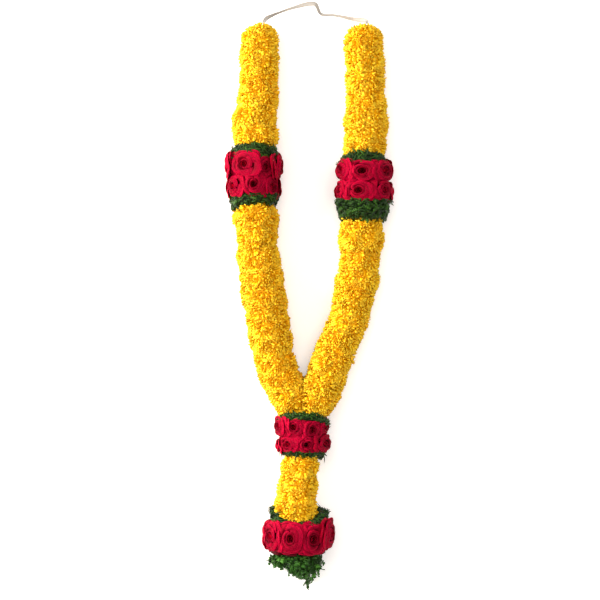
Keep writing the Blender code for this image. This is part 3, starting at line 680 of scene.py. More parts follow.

# %% [markdown]
# The finish of a chrysanthemum petal
#
# A petal is thin and matt, and light comes out deeper and warmer from between petals than
# from their tips. One flat yellow would lose the whorls. So that shade and warm glow are
# painted into the colour: it runs from amber at the root to lemon at the tip, and heads and
# single petals differ a little.

# %% Petal finish
# A fresh petal is soft and faintly waxy: a wide weak sheen and no sharp highlight.
petals, shader = new_material("fresh_chrysanthemum_petal", Roughness=0.6, IOR=1.4)
shader.inputs["Specular IOR Level"].default_value = 0.2
tree = petals.node_tree
tip = add_node(tree, "ShaderNodeAttribute", attribute_name="tip").outputs["Fac"]
head = add_node(tree, "ShaderNodeAttribute", attribute_name="head_shade").outputs["Fac"]
single = add_node(tree, "ShaderNodeAttribute", attribute_name="petal_shade").outputs["Fac"]
# Painted shade and glow: amber at the root, where petals shade one another, lemon at the tip.
ramp = add_node(tree, "ShaderNodeValToRGB", {0: tip})
stops = ramp.color_ramp.elements
stops[0].position = 0.06
stops[0].color = linear("F8AE02")
stops[1].position = 1.0
stops[1].color = linear("FFDC3E")
stops.new(0.50).color = linear("FFCA08")
warm = add_node(tree, "ShaderNodeMath", {0: head, 1: single}, operation="MULTIPLY")
warm = add_node(tree, "ShaderNodeMath", {0: warm, 1: 0.7}, operation="MULTIPLY")
tinted = add_node(tree, "ShaderNodeMix", {0: warm, 6: ramp, 7: linear("FFB404")}, data_type="RGBA")
tree.links.new(tinted.outputs[2], shader.inputs["Base Color"])
print("petal finish has", len(tree.nodes), "nodes")

# %% [markdown]
# The five runs
#
# Each run of heads is one piece: its bed, the tree above as a modifier and a plain mesh out
# of it. Its ends go on under the leaves, as threaded heads do. Where the legs meet, the
# beds are first pressed into one another, because two soft legs side by side share no
# straight furrow.

# %% Cover the five runs
HEAD_SPACING = 27 * MM
PETAL_SPACING = 2.84 * MM
BED_VOXEL = 4.0 * MM
BED_ROUNDS = 12
TUCK_REACH = 25 * MM
JOIN_X = -11 * MM           # the legs meet here
JOIN_Y = -120 * MM
JOIN_GROWS = 25 * MM        # the press sets in over this length
FURROW_REACH = 32 * MM      # to either side of the join
FURROW_SHIFT = 13 * MM      # how far a leg's skin moves towards the other
FURROW_FILL = 0.75          # how much of the furrow is raised, and up to which share of the top
FURROW_TOP = 0.94
RUNS = {
    # name of the piece: node, how far its low and its high end tuck under the leaves in mm,
    # how much its low and its high end flare, seed
    "threaded_heads_upper_left": ("chrysanthemums_upper_left", 12, 3, 0.0, 0.0, 1),
    "threaded_heads_upper_right": ("chrysanthemums_upper_right", 14, 2, 0.03, 0.0, 2),
    "threaded_heads_lower_left": ("chrysanthemums_lower_left", 12, 10, 0.0, 0.0, 3),
    "threaded_heads_lower_right": ("chrysanthemums_lower_right", 12, 10, 0.0, 0.0, 4),
    "threaded_heads_stem": ("chrysanthemums_stem", 29, 10, 0.22, 0.16, 5),
}


def tuck_ends(bed, low, high, low_reach, high_reach, low_flare=0.0, high_flare=0.0):
    """Lengthen and flare the ends of a bed, so that its flowers go on under the leaves."""
    middle = (Vector(low) + Vector(high)) / 2
    for vert in bed.data.vertices:
        to_low = max(1 - (vert.co.y - low[1]) / TUCK_REACH, 0)
        to_high = max(1 - (high[1] - vert.co.y) / TUCK_REACH, 0)
        flare = low_flare * to_low + high_flare * to_high
        vert.co.x += (vert.co.x - middle.x) * flare
        vert.co.z += (vert.co.z - middle.z) * flare
        vert.co.y += (high_reach * to_high - low_reach * to_low) * MM


def press_together(bed):
    """Fill the furrow between the legs where the two are pressed together above the join."""
    top = max(vert.co.z for vert in bed.data.vertices)
    for vert in bed.data.vertices:
        if vert.co.y < JOIN_Y:
            gap = JOIN_X - vert.co.x
            near = max(1 - abs(gap) / FURROW_REACH, 0)
            below = min((JOIN_Y - vert.co.y) / JOIN_GROWS, 1)
            vert.co.x += math.copysign(min(FURROW_SHIFT, abs(gap)), gap) * near * below
            if vert.co.z > top / 2:
                vert.co.z += FURROW_FILL * (FURROW_TOP * top - vert.co.z) * near * below


for name, (node, low_reach, high_reach, low_flare, high_flare, seed) in RUNS.items():
    low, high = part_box(node)
    bed = bed_of(node, BED_VOXEL, BED_ROUNDS)
    tuck_ends(bed, low, high, low_reach, high_reach, low_flare, high_flare)
    press_together(bed)
    grow = bed.modifiers.new("whorls", "NODES")
    grow.node_group = whorls
    set_inputs(grow, {
        "Petals": petal_box, "Material": petals, "Inset": 2.4 * MM, "Head spacing": HEAD_SPACING,
        "Petal spacing": PETAL_SPACING, "Lean": 1.25, "Upright at": 0.34, "Droop": 0.5,
        "Root depth": 3.0 * MM, "Unevenness": 0.25, "Seed": seed,
    })
    mesh = plain_mesh(bed, name)
    press_on_table(mesh)
    run = make_object(name, mesh, petals)
    stands_for(run, node)
    print(name, len(mesh.polygons), "faces")

# %% [markdown]
# A rose and its cell
#
# Each rose in a band is pressed by its neighbours into its own cell. The frame's solid says
# how wide, long and high that cell is and which way the rose faces: away from the string.

# %% Rose places


def rose_cell(node):
    """Foot, facing direction and sizes of the cell that a frame rose fills."""
    points = [vert.co.copy() for vert in frame["nodes"][node].data.vertices]
    low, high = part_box(node)
    cloud = sum(points, Vector()) / len(points)
    foot = string_centre(Vector((cloud.x, (low.y + high.y) / 2, cloud.z)))
    out = Vector((cloud.x - foot.x, 0, cloud.z - foot.z)).normalized()
    across = Vector((out.z, 0, -out.x))
    sides = [(point - foot).dot(across) for point in points]
    return {
        "foot": foot, "out": out, "across": across,
        "wide": (max(sides) - min(sides)) / 2, "long": (high.y - low.y) / 2,
        "shift": (max(sides) + min(sides)) / 2,
        "face": max((point - foot).dot(out) for point in points),
    }


sample = rose_cell("rose_left_02")
print("a rose is", round(2 * sample["wide"] / MM), "by", round(2 * sample["long"] / MM), "mm across")

# %% [markdown]
# A rose petal by petal
#
# A rose has petals of several sizes: short ones round its heart, broad ones outside. Each
# is a small grid bent by one formula. It rises from the foot of the bloom, opens outwards
# and rolls its rim back. The outermost fill the corners of the cell, and all of them are
# pressed in where the band of leaves begins.

# %% Rose petals
ROSE_LAYERS = (
    # petals, reach as a share of the cell, depth of the highest point in mm, half angle in degrees
    (3, 0.44, 1.6, 86),
    (3, 0.66, 1.2, 74),
    (4, 0.90, 3.6, 60),
    (4, 1.10, 7.5, 54),
    (4, 1.24, 12.0, 50),
)
FIRST_REACH = 0.44          # of the innermost layer, and how much further the outermost goes
REACH_SPAN = 0.8
ROSE_COLUMNS = 8
ROSE_FOOT = 9               # a petal's foot lies this far under its highest point, in mm
SIDE_POWER = 2.2            # the higher, the later a petal's sides turn away from its middle
SIDE_NARROW = 0.18          # how much less far and less high its sides reach, as shares
SIDE_SINK = 0.30
FOOT_RADIUS = 0.05          # a petal starts this far from the axis, as a share of the cell
WAVES = (0.5, 1.4)          # height of a rim's waves in mm, innermost and how much it grows
WAVE_RATE = 3.0
OUTER_SQUARE = 0.4          # past the 2 of an ellipse, so that outer petals fill the corners
HALF_SPREAD = (0.9, 1.1)    # chance in its half angle and in its reach, as factors
REACH_SPREAD = (0.93, 1.06)
TOP_SPREAD = (-0.9, 0.9)    # chance in the depth of its top, in mm
LEAN_SPREAD = (-0.08, 0.08)     # chance in its lean to one side and in its point, as shares
POINT_SPREAD = (0.02, 0.16)
ROSE_PROFILE = (
    # along a petal: radius, as a share of its reach, and height, 0 at the foot and 1 at its highest
    (0.0, 0.0), (0.46, 0.42), (0.58, 0.86), (0.70, 1.0), (0.84, 0.94), (0.95, 0.76), (1.0, 0.60),
)
EDGE_AT = 0.84              # beyond this share of a cell, towards the leaves, petals are pressed in
EDGE_PRESS = 0.45           # and keep this share of what they reach past it


def cell_point(cell, angle, radius, depth, square):
    """A point of a rose, from its angle, its share of the cell and its depth under the face."""
    wide, long = math.cos(angle), math.sin(angle)
    radius /= (abs(wide) ** square + abs(long) ** square) ** (1 / square)
    along = radius * long
    if abs(along) > EDGE_AT:
        along = math.copysign(EDGE_AT + (abs(along) - EDGE_AT) * EDGE_PRESS, along)
    return (cell["foot"] + cell["out"] * (cell["face"] - depth)
            + cell["across"] * (cell["shift"] + cell["wide"] * radius * wide)
            + Vector((0, 1, 0)) * (cell["long"] * along))


def add_grid(bm, rows, columns, place, shade):
    """A grid of faces whose points come from a formula of row i and u, -1 to 1."""
    net = []
    for i in range(rows + 1):
        line = []
        for k in range(columns + 1):
            vert = bm.verts.new(place(i, 2 * k / columns - 1))
            vert[bm.verts.layers.float["tip"]] = i / rows
            vert[bm.verts.layers.float["petal_shade"]] = shade
            line.append(vert)
        net.append(line)
    bridge(bm, net)


def rose_petal(bm, cell, draw, middle, layer, heart):
    """One petal of a rose, bent by the profile and rolled back at its rim."""
    _, reach, top, half = layer
    share = (reach - FIRST_REACH) / REACH_SPAN
    half = math.radians(half) * draw.uniform(*HALF_SPREAD)
    reach *= draw.uniform(*REACH_SPREAD)
    top += heart * (1 - share) ** 3 + draw.uniform(*TOP_SPREAD)
    floor = top + ROSE_FOOT
    wave = WAVES[0] + WAVES[1] * share
    phase = draw.uniform(0, TURN)
    lean = draw.uniform(*LEAN_SPREAD)
    point = draw.uniform(*POINT_SPREAD) * share
    square = 2 + OUTER_SQUARE * share

    def place(i, u):
        out, high = ROSE_PROFILE[i]
        side = abs(u) ** SIDE_POWER
        rim = reach * (1 - SIDE_NARROW * side + point * (1 - abs(u)) ** 2)
        radius = FOOT_RADIUS + (rim - FOOT_RADIUS) * out + lean * u * reach
        depth = floor + (top - floor) * high * (1 - SIDE_SINK * side)
        depth += wave * out**4 * math.sin(WAVE_RATE * u + phase)
        angle = middle + u * half * (0.5 + 0.5 * out)
        return cell_point(cell, angle, radius, depth * MM, square)

    add_grid(bm, len(ROSE_PROFILE) - 1, ROSE_COLUMNS, place, draw.random())


print("a rose has", sum(layer[0] for layer in ROSE_LAYERS), "petals and a bud")

# %% [markdown]
# The body under the petals
#
# Between real petals lies more of the flower, never the string or the table. A dark closed
# wedge does that work: it is as broad as the cell where the petals spread, and narrows
# towards the string with its flanks against its neighbours'. Its points keep a tip of 0, so
# it has the darkest colour of the petals: painted shade in the gaps.

# %% Rose body
BODY_RINGS = ((14, 0.86), (17, 0.96), (24, 1.0))    # depth in mm under the face, width
BODY_FOOT = 6 * MM          # and a last ring this far from the string
BODY_SIDES = 20
BODY_LENGTH = 1.09          # makes up for the press at the edges, so that bodies meet
BODY_SQUARE = 5.0           # 2 is an ellipse, more is nearer to a rectangle
WEDGE = math.tan(math.radians(24))  # the flanks of a cell close in towards the string
SLIMMEST = 0.12             # but keep at least this share of its width


def rose_body(bm, cell):
    """The closed body under the petals, a wedge that fills the cell, dark with painted shade."""
    rings = []
    depths = [(depth * MM, inset) for depth, inset in BODY_RINGS]
    for depth, inset in (*depths, (cell["face"] - BODY_FOOT, 1.0)):
        flank = max((cell["wide"] - depth * WEDGE) / cell["wide"], SLIMMEST)
        ring = []
        for k in range(BODY_SIDES):
            point = cell_point(cell, TURN * k / BODY_SIDES, inset, depth, BODY_SQUARE)
            aside = (point - cell["foot"]).dot(cell["across"]) - cell["shift"]
            ring.append(bm.verts.new(point - cell["across"] * aside * (1 - flank)))
        rings.append(ring)
    bridge(bm, rings, closed=True)
    bm.faces.new(rings[0])
    bm.faces.new(rings[-1][::-1])


print("a rose's body has", (len(BODY_RINGS) + 1) * BODY_SIDES, "points")

# %% [markdown]
# One rose
#
# A rose sets its petals one after another round a spiral, each 137.5 degrees on from the
# last, so they overlap like tiles and never line up. A rolled strip makes the tight bud.
# No hand threads roses quite evenly, so those in front are shifted and sized one by one.

# %% Build a rose
GOLDEN_TURN = math.radians(137.508)
ROSE_WALL = 0.7 * MM
ROSE_GROUND = 0.4 * MM      # nothing of a rose lies lower over the table
HEART_DEPTHS = (-1.0, 4.0)  # how much deeper than its cell's a rose's heart lies, in mm
SPIRAL_SPREAD = (-0.2, 0.2)     # chance in a petal's place, in radians
BUD_SEGMENTS = 26
BUD_TURNS = 1.9
BUD_RADII = (0.03, 0.24)    # at its start, and how much it grows
BUD_FLARE = (0.85, 0.08)    # radius of the bottom row, and how much each row adds
BUD_DEPTH = 9               # its bottom row in mm, and how far each row rises
BUD_RISE = 4
BUD_WAVE = (0.8, 9)         # height in mm, and how fast it changes
BUD_SLANT = 1.5             # its inner end lies this much deeper, in mm
WIDE_RISE = 14              # a broader rose stands out too, by this many mm for each 1 of width
ROSE_NUDGES = {
    # node: shift round the leg and along it in mm, width and length as shares of the cell's
    "rose_left_01": (0, -3, 1.06, 1.02), "rose_left_02": (1, -9, 0.86, 0.94),
    "rose_left_03": (0, -7, 1, 1), "rose_left_06": (0, -6, 1.12, 1.14),
    "rose_left_07": (2, 5, 0.92, 0.97), "rose_left_08": (0, 8, 1.04, 1.02),
    "rose_left_09": (-3, 3, 0.9, 0.96), "rose_left_10": (0, 2, 1, 1), "rose_left_12": (0, 6, 1, 1.08),
    "rose_right_01": (3, 0, 1.02, 1.01), "rose_right_02": (0, -4, 1.08, 1.03),
    "rose_right_03": (-2, -3, 1, 1), "rose_right_07": (4, 3, 0.95, 0.98),
    "rose_right_08": (1, 2, 1.14, 1.06), "rose_right_09": (3, 3, 0.94, 0.98),
    "rose_middle_01": (0, -1, 1.12, 1.05), "rose_middle_02": (1, -6, 1.16, 1.06),
    "rose_middle_07": (0, 0, 1.15, 1.06), "rose_middle_08": (2, 3, 1, 1),
    "rose_middle_09": (2, 3, 1, 1), "rose_middle_10": (0, 4, 1.12, 1.05),
    "rose_end_01": (3, 5, 1.1, 0.93), "rose_end_02": (3, 2, 1.1, 0.93), "rose_end_03": (2, 0, 1.04, 0.93),
    "rose_end_04": (0, 8, 1.2, 0.93), "rose_end_05": (0, 5, 1.15, 0.93), "rose_end_08": (0, 4, 1.28, 0.93),
    "rose_end_06": (0, 3, 1.05, 0.93), "rose_end_07": (0, 3, 1.05, 0.93),
}
ROSE_RISES = {
    # node: how far its face stands out past its cell, in mm
    "rose_left_05": 3, "rose_left_06": 6, "rose_left_07": 4.5, "rose_left_12": 3, "rose_left_03": 1.5,
    "rose_right_01": 2.5, "rose_right_03": 2.5, "rose_right_04": 3, "rose_right_06": 2.5,
    "rose_right_07": 4, "rose_right_09": 4, "rose_right_10": 4, "rose_right_12": 4,
    "rose_middle_07": 2.5, "rose_middle_06": 2.5, "rose_middle_10": 2, "rose_end_04": 3, "rose_end_01": 1.5,
}


def rose_bloom(name, node, seed, finish):
    """One rose that fills the cell of a frame rose."""
    draw = random.Random(seed)
    body_cell = rose_cell(node)
    aside, onward, wider, taller = ROSE_NUDGES.get(node, (0, 0, 1.0, 1.0))
    cell = dict(body_cell)
    body_cell["long"] *= BODY_LENGTH
    cell["foot"] = cell["foot"] + Vector((0, onward * MM, 0))
    cell["shift"] += aside * MM
    cell["wide"] *= wider
    cell["long"] *= taller
    cell["face"] += ((wider - 1) * WIDE_RISE + ROSE_RISES.get(node, 0)) * MM
    start = draw.uniform(0, TURN)
    heart = draw.uniform(*HEART_DEPTHS)
    bm = bmesh.new()
    for layer in ("tip", "petal_shade"):
        bm.verts.layers.float.new(layer)
    number = 0
    for layer in ROSE_LAYERS:
        for _ in range(layer[0]):
            middle = start + number * GOLDEN_TURN + draw.uniform(*SPIRAL_SPREAD)
            rose_petal(bm, cell, draw, middle, layer, heart)
            number += 1

    def bud(i, u):
        turn = (u + 1) / 2
        radius = (BUD_RADII[0] + BUD_RADII[1] * turn) * (BUD_FLARE[0] + BUD_FLARE[1] * i)
        depth = BUD_DEPTH - BUD_RISE * i + heart + BUD_WAVE[0] * math.sin(BUD_WAVE[1] * turn)
        depth += BUD_SLANT * (1 - turn)
        return cell_point(cell, start + turn * BUD_TURNS * TURN, radius, depth * MM, 2.0)

    add_grid(bm, 2, BUD_SEGMENTS, bud, 0.5)
    # The new points have no normals yet, so both skins of a petal come out in one place
    bmesh.ops.solidify(bm, geom=bm.faces[:], thickness=ROSE_WALL)
    # The body's points keep a tip of 0, the darkest colour of the ramp: painted shade.
    rose_body(bm, body_cell)
    as_triangles(bm)
    for vert in bm.verts:
        if vert.co.z < ROSE_GROUND:
            pull = (cell["foot"].z - ROSE_GROUND) / (cell["foot"].z - vert.co.z)
            vert.co.x = cell["foot"].x + (vert.co.x - cell["foot"].x) * pull
            vert.co.z = ROSE_GROUND
    bloom = make_object(name, to_mesh(name, bm), finish)
    stands_for(bloom, node)
    return len(bloom.data.polygons)


print(len(ROSE_NUDGES), "roses are shifted or sized by hand")

# %% [markdown]
# The finish of a rose petal
#
# A red rose is dark wine where it is shaded by its own petals and bright crimson at its
# rims. That shade is painted into the colour: the attribute tip, from 0 at a petal's foot to
# 1 at its rim, gives the ramp from painted shade to crimson, and each petal is a little
# different.

# %% Rose finish
# Rose petals are velvety: tiny cones on their skin spread the light, so there is next to no
# highlight. The cones are about 0.03 mm wide, drawn much coarser so that they show.
velvet, shader = new_material("velvety_red_rose_petal", Roughness=0.6, IOR=1.4)
shader.inputs["Specular IOR Level"].default_value = 0.08
tree = velvet.node_tree
tip = add_node(tree, "ShaderNodeAttribute", attribute_name="tip").outputs["Fac"]
single = add_node(tree, "ShaderNodeAttribute", attribute_name="petal_shade").outputs["Fac"]
# Painted shade: dark wine at a petal's foot, deep in the bloom, bright crimson at its rim.
ramp = add_node(tree, "ShaderNodeValToRGB", {0: tip})
stops = ramp.color_ramp.elements
stops[0].position = 0.30
stops[0].color = linear("4C000E")
stops[1].position = 0.88
stops[1].color = linear("DC0640")
share = add_node(tree, "ShaderNodeMath", {0: single, 1: 0.45}, operation="MULTIPLY")
shift = add_node(tree, "ShaderNodeMix", {0: share, 6: ramp, 7: linear("A80022")}, data_type="RGBA")
tree.links.new(shift.outputs[2], shader.inputs["Base Color"])
place = add_node(tree, "ShaderNodeTexCoord").outputs["Object"]
grain = add_node(tree, "ShaderNodeTexNoise", {"Vector": place, "Scale": 1100.0, "Detail": 2.0})
bump = add_node(tree, "ShaderNodeBump", {"Height": grain, "Strength": 0.15, "Distance": 0.4 * MM})
tree.links.new(bump.outputs["Normal"], shader.inputs["Normal"])
print("rose finish has", len(tree.nodes), "nodes")

# %% [markdown]
# Four bands of roses
#
# The frame has one node for each rose, so each becomes one piece with its own seed. The
# nodes are taken by name, and a run of the script always gives the same roses.

# %% Fill the bands
rose_faces = 0
rose_nodes = sorted(node for node in frame["nodes"] if node.startswith("rose_"))
for number, node in enumerate(rose_nodes):
    rose_faces += rose_bloom(node.replace("rose_", "bloom_"), node, 100 + number, velvet)
print(len(rose_nodes), "roses,", rose_faces, "faces")

# %% [markdown]
# Leaves
#
# The green is the plant's own foliage: leaves with rounded lobes on both sides of a rib, and
# narrow strands among them. A leaf could be a flat card with a picture of its outline, but a
# card has no edge of its own. So each is a thin closed blade: one outline of lobes, with its
# rib a little above it on the face and below it on the back. A strand is a narrow blade with
# a ridge, and it bends down at its tip to hug the round of its band.

# %% Leaf shapes
LEAF_SHAPES = (
    # length in mm, lobes as (place along the rib, length in mm, half width in mm, angle in degrees)
    (17.0, ((0.16, 5.0, 1.5, 66), (0.42, 7.0, 1.9, 54), (0.68, 5.5, 1.7, 40))),
    (14.0, ((0.20, 5.0, 1.6, 62), (0.55, 5.5, 1.8, 46))),
    (20.0, ((0.12, 4.5, 1.4, 68), (0.34, 7.0, 1.7, 56), (0.56, 6.5, 1.7, 48), (0.78, 4.5, 1.5, 34))),
)
RIB_RISE = 0.5 * MM
BLADE_DROP = 1.6 * MM       # how far a lobe's tip hangs below the rib
LEAF_ARCH = 3.0 * MM        # its middle stands up by about seven tenths of this
DROP_SPAN = 6 * MM          # a point this far from the rib hangs by the whole drop
LOBE_SHOULDER = 0.80        # a lobe's broad place, as a share of its length
NOTCH_AT = 0.8              # place of the notch between two lobes, and its distance from the rib
NOTCH_WIDTH = 1.0
END_NOTCH_WIDTH = 1.7
BLADE_HUG = 3.4 * MM        # how far a blade's tip bends down to the round of its band


def leaf_shape(name, length, lobes):
    """A lobed leaf that lies along +Y with its face towards +Z and its root at the origin."""
    bm = bmesh.new()
    tip_layer = bm.verts.layers.float.new("tip")

    def corner(x, y, rise):
        arch = LEAF_ARCH * (y / length) * (1.2 - y / length) * 2
        vert = bm.verts.new((x, y, arch + rise - BLADE_DROP * (abs(x) / DROP_SPAN) ** 2))
        vert[tip_layer] = min(vert.co.xy.length / length, 1.0)
        return vert

    ends = [0.0] + [share * length for share, *_ in lobes] + [length]
    root = corner(0, 0, 0)
    tip = corner(0, length, 0)
    ribs = {side: [corner(0, y, rise) for y in ends[1:-1]]
            for side, rise in ((1, RIB_RISE), (-1, -0.5 * RIB_RISE))}
    for flank in (-1, 1):
        notch = root
        for number, (share, reach, half, angle) in enumerate(lobes):
            base = share * length
            away, along = math.sin(math.radians(angle)), math.cos(math.radians(angle))
            low = corner(flank * (away * reach * LOBE_SHOULDER + along * half) * MM,
                         base + (along * reach * LOBE_SHOULDER - away * half) * MM, 0)
            high = corner(flank * (away * reach - along * half * 0.5) * MM,
                          base + (along * reach + away * half * 0.5) * MM, 0)
            after = ends[number + 2]
            last = number == len(lobes) - 1
            notch_width = END_NOTCH_WIDTH if last else NOTCH_WIDTH
            following = corner(flank * notch_width * MM, base + (after - base) * NOTCH_AT, 0)
            for side in (1, -1):
                rib = ribs[side][number]
                onward = tip if last else ribs[side][number + 1]
                edge = (notch, low, high, following, onward)
                for face in [(rib, near, far) for near, far in zip(edge, edge[1:])]:
                    bm.faces.new(face if side * flank < 0 else face[::-1])
            notch = following
    bmesh.ops.recalc_face_normals(bm, faces=bm.faces[:])
    return bpy.data.objects.new(name, to_mesh(name, bm))


BLADE_SECTIONS = ((0.22, 0.8), (0.55, 1.0), (0.84, 0.6))    # place along it, width
BLADE_ARCH = 0.4            # it stands up by this share of its sideways bend
BLADE_FOOT = 0.2            # colour starts from here on the way from root to tip


def blade_shape(name, length, half, rise, bend):
    """A narrow leaf that lies along +Y, with a ridge along its face and pointed ends."""
    bm = bmesh.new()
    tip_layer = bm.verts.layers.float.new("tip")
    rings = []
    for share, wide in BLADE_SECTIONS:
        ring = []
        for x, z in ((-half * wide, 0), (half * wide, 0), (0, rise)):
            arch = BLADE_ARCH * abs(bend) * math.sin(math.pi * share)
            place = (x + bend * share**2, length * share, z + arch - BLADE_HUG * share**2)
            vert = bm.verts.new(place)
            vert[tip_layer] = BLADE_FOOT + (1 - BLADE_FOOT) * share
            ring.append(vert)
        rings.append(ring)
    ends = [bm.verts.new((0, 0, 0)), bm.verts.new((bend, length, -BLADE_HUG))]
    ends[1][tip_layer] = 1.0
    for k in range(3):
        following = (k + 1) % 3
        bm.faces.new((ends[0], rings[0][k], rings[0][following]))
        bm.faces.new((ends[1], rings[-1][following], rings[-1][k]))
        for lower, upper in zip(rings, rings[1:]):
            bm.faces.new((lower[k], upper[k], upper[following], lower[following]))
    as_triangles(bm)
    return bpy.data.objects.new(name, to_mesh(name, bm))


BLADE_SHAPES = (
    # length, half width, height of the ridge and sideways bend, all in mm
    (18.0, 1.9, 0.8, 3.0), (16.0, 2.2, 0.8, -2.5), (21.0, 1.7, 0.7, 4.0), (14.0, 2.4, 0.9, 1.5),
)
BROAD_BLADES = 1.1          # the broad collar's blades are this much larger
blades = [blade_shape(f"blade_{number}", *[value * MM for value in values])
          for number, values in enumerate(BLADE_SHAPES)]
small_leaf = leaf_shape("small_leaf", 10.0 * MM, ((0.22, 3.6, 1.2, 64), (0.58, 3.9, 1.3, 46)))
collar_box = shape_box("collar_shapes", [*blades, small_leaf])
broad_box = shape_box("broad_collar_shapes", [
    *[leaf_shape(f"leaf_{number}", length * MM, lobes)
      for number, (length, lobes) in enumerate(LEAF_SHAPES)],
    *[blade_shape(f"broad_blade_{number}", *[BROAD_BLADES * value * MM for value in values])
      for number, values in enumerate(BLADE_SHAPES[:2])]])
SPRAY_SHAPES = (
    (13.0, ((0.16, 6.0, 2.7, 62), (0.52, 6.8, 2.9, 42))),
    (11.0, ((0.20, 5.4, 2.6, 58), (0.56, 5.8, 2.7, 40))),
    (16.0, ((0.12, 5.2, 2.3, 66), (0.38, 7.2, 2.6, 52), (0.68, 6.0, 2.6, 36))),
)
tassel_box = shape_box("tassel_shapes", [
    leaf_shape(f"spray_leaf_{number}", length * MM, lobes)
    for number, (length, lobes) in enumerate(SPRAY_SHAPES)])

# %% [markdown]
# Leaves laid over a bed
#
# The same idea as for the petals, with another rule: a leaf starts from one direction, along
# the garland, and chance swings it to either side. With a wide swing most leaves run round
# the band, and with a narrow one they hang. Each stands off the bed by a small angle.
# Layers come from the close spacing, since a leaf is far longer than the gap to the next.

# %% Tree for the leaves
LEAST_FLARE = 0.1           # every leaf stands off by some part of the flare
ROLL_SPREAD = 0.6           # chance in which way its face looks


def leaf_tree():
    """Tree that lays leaves over a bed."""
    tree, given = new_tree("layered_leaves", {
        "Leaves": "Collection", "Material": "Material", "Leaf spacing": "Float", "Direction": "Vector",
        "Flare": "Float", "Swing": "Float", "Spread": "Float", "Centre": "Vector",
        "Smallest": "Float", "Largest": "Float", "Shrink": "Float", "Facing": "Vector", "Seed": "Int",
    })
    place = add_node(tree, "GeometryNodeInputPosition")
    apart = add_node(tree, "ShaderNodeVectorMath", {0: place, 1: given["Centre"]}, operation="SUBTRACT")
    apart = add_node(tree, "ShaderNodeVectorMath", {0: apart, 1: (1.0, 0.0, 1.0)}, operation="MULTIPLY")
    inward = add_node(tree, "ShaderNodeMath", {0: given["Shrink"], 1: -1.0}, operation="MULTIPLY")
    inward = add_node(tree, "ShaderNodeVectorMath", {0: apart, "Scale": inward}, operation="SCALE")
    bed = add_node(tree, "GeometryNodeSetPosition", {"Geometry": given["Geometry"], "Offset": inward})
    scatter = add_node(tree, "GeometryNodeDistributePointsOnFaces", {
        "Mesh": bed, "Distance Min": given["Leaf spacing"], "Density Max": PETAL_CROWD,
        "Seed": given["Seed"]}, distribute_method="POISSON")
    normal = scatter.outputs["Normal"]
    apart = add_node(tree, "ShaderNodeVectorMath", {0: apart, "Scale": given["Spread"]}, operation="SCALE")
    aim = add_node(tree, "ShaderNodeVectorMath", {0: given["Direction"], 1: apart}, operation="ADD")
    rise = add_node(tree, "ShaderNodeVectorMath", {0: aim, 1: normal}, operation="PROJECT")
    aim = add_node(tree, "ShaderNodeVectorMath", {0: aim, 1: rise}, operation="SUBTRACT")
    aim = add_node(tree, "ShaderNodeVectorMath", {0: aim}, operation="NORMALIZE")
    aside = add_node(tree, "ShaderNodeVectorMath", {0: aim, 1: normal}, operation="CROSS_PRODUCT")
    swing = add_node(tree, "FunctionNodeRandomValue", {2: -1.0, 3: 1.0, "Seed": 4}, data_type="FLOAT")
    swing = add_node(tree, "ShaderNodeMath", {0: swing, 1: given["Swing"]}, operation="MULTIPLY")
    swing = add_node(tree, "ShaderNodeVectorMath", {0: aside, "Scale": swing}, operation="SCALE")
    flare = add_node(tree, "FunctionNodeRandomValue", {
        2: LEAST_FLARE, 3: 1.0, "Seed": 9}, data_type="FLOAT")
    flare = add_node(tree, "ShaderNodeMath", {0: flare, 1: given["Flare"]}, operation="MULTIPLY")
    flare = add_node(tree, "ShaderNodeVectorMath", {0: normal, "Scale": flare}, operation="SCALE")
    way = add_node(tree, "ShaderNodeVectorMath", {0: aim, 1: swing}, operation="ADD")
    way = add_node(tree, "ShaderNodeVectorMath", {0: way, 1: flare}, operation="ADD")
    way = add_node(tree, "ShaderNodeVectorMath", {0: way}, operation="NORMALIZE")
    roll = add_node(tree, "FunctionNodeRandomValue", {
        0: (-ROLL_SPREAD,) * 3, 1: (ROLL_SPREAD,) * 3, "Seed": 15}, data_type="FLOAT_VECTOR")
    face = add_node(tree, "ShaderNodeVectorMath", {0: normal, 1: roll}, operation="ADD")
    face = add_node(tree, "ShaderNodeVectorMath", {0: face, 1: given["Facing"]}, operation="ADD")
    turn = add_node(tree, "FunctionNodeAxesToRotation", {
        "Primary Axis": way, "Secondary Axis": face}, primary_axis="Y", secondary_axis="Z")
    size = add_node(tree, "FunctionNodeRandomValue", {
        2: given["Smallest"], 3: given["Largest"], "Seed": 6}, data_type="FLOAT")
    pick = add_node(tree, "FunctionNodeRandomValue", {4: 0, 5: 999, "Seed": 2}, data_type="INT")
    leaf_draw = add_node(tree, "FunctionNodeRandomValue", {"Seed": 31}, data_type="FLOAT")
    kept = add_node(tree, "GeometryNodeStoreNamedAttribute", {
        "Geometry": scatter.outputs["Points"], "Name": "leaf_shade", "Value": leaf_draw},
        data_type="FLOAT", domain="POINT")
    shapes = add_node(tree, "GeometryNodeCollectionInfo", {
        "Collection": given["Leaves"], "Separate Children": True, "Reset Children": True})
    placed = add_node(tree, "GeometryNodeInstanceOnPoints", {
        "Points": kept, "Instance": shapes, "Pick Instance": True,
        "Instance Index": pick, "Rotation": turn, "Scale": size})
    real = add_node(tree, "GeometryNodeRealizeInstances", {"Geometry": placed})
    both = add_node(tree, "GeometryNodeJoinGeometry", {0: [real, bed]})
    done = add_node(tree, "GeometryNodeSetMaterial", {"Geometry": both, "Material": given["Material"]})
    add_node(tree, "NodeGroupOutput", {0: done})
    return tree


layers = leaf_tree()
print("the tree has", len(layers.nodes), "nodes")

# %% [markdown]
# The finish of the leaves
#
# The collars' leaves are old and dark green, and the tassel's are fresh. Both take their
# colour from root to tip, and some leaves are paler than the rest, so one function makes
# both finishes.

# %% Leaf finish


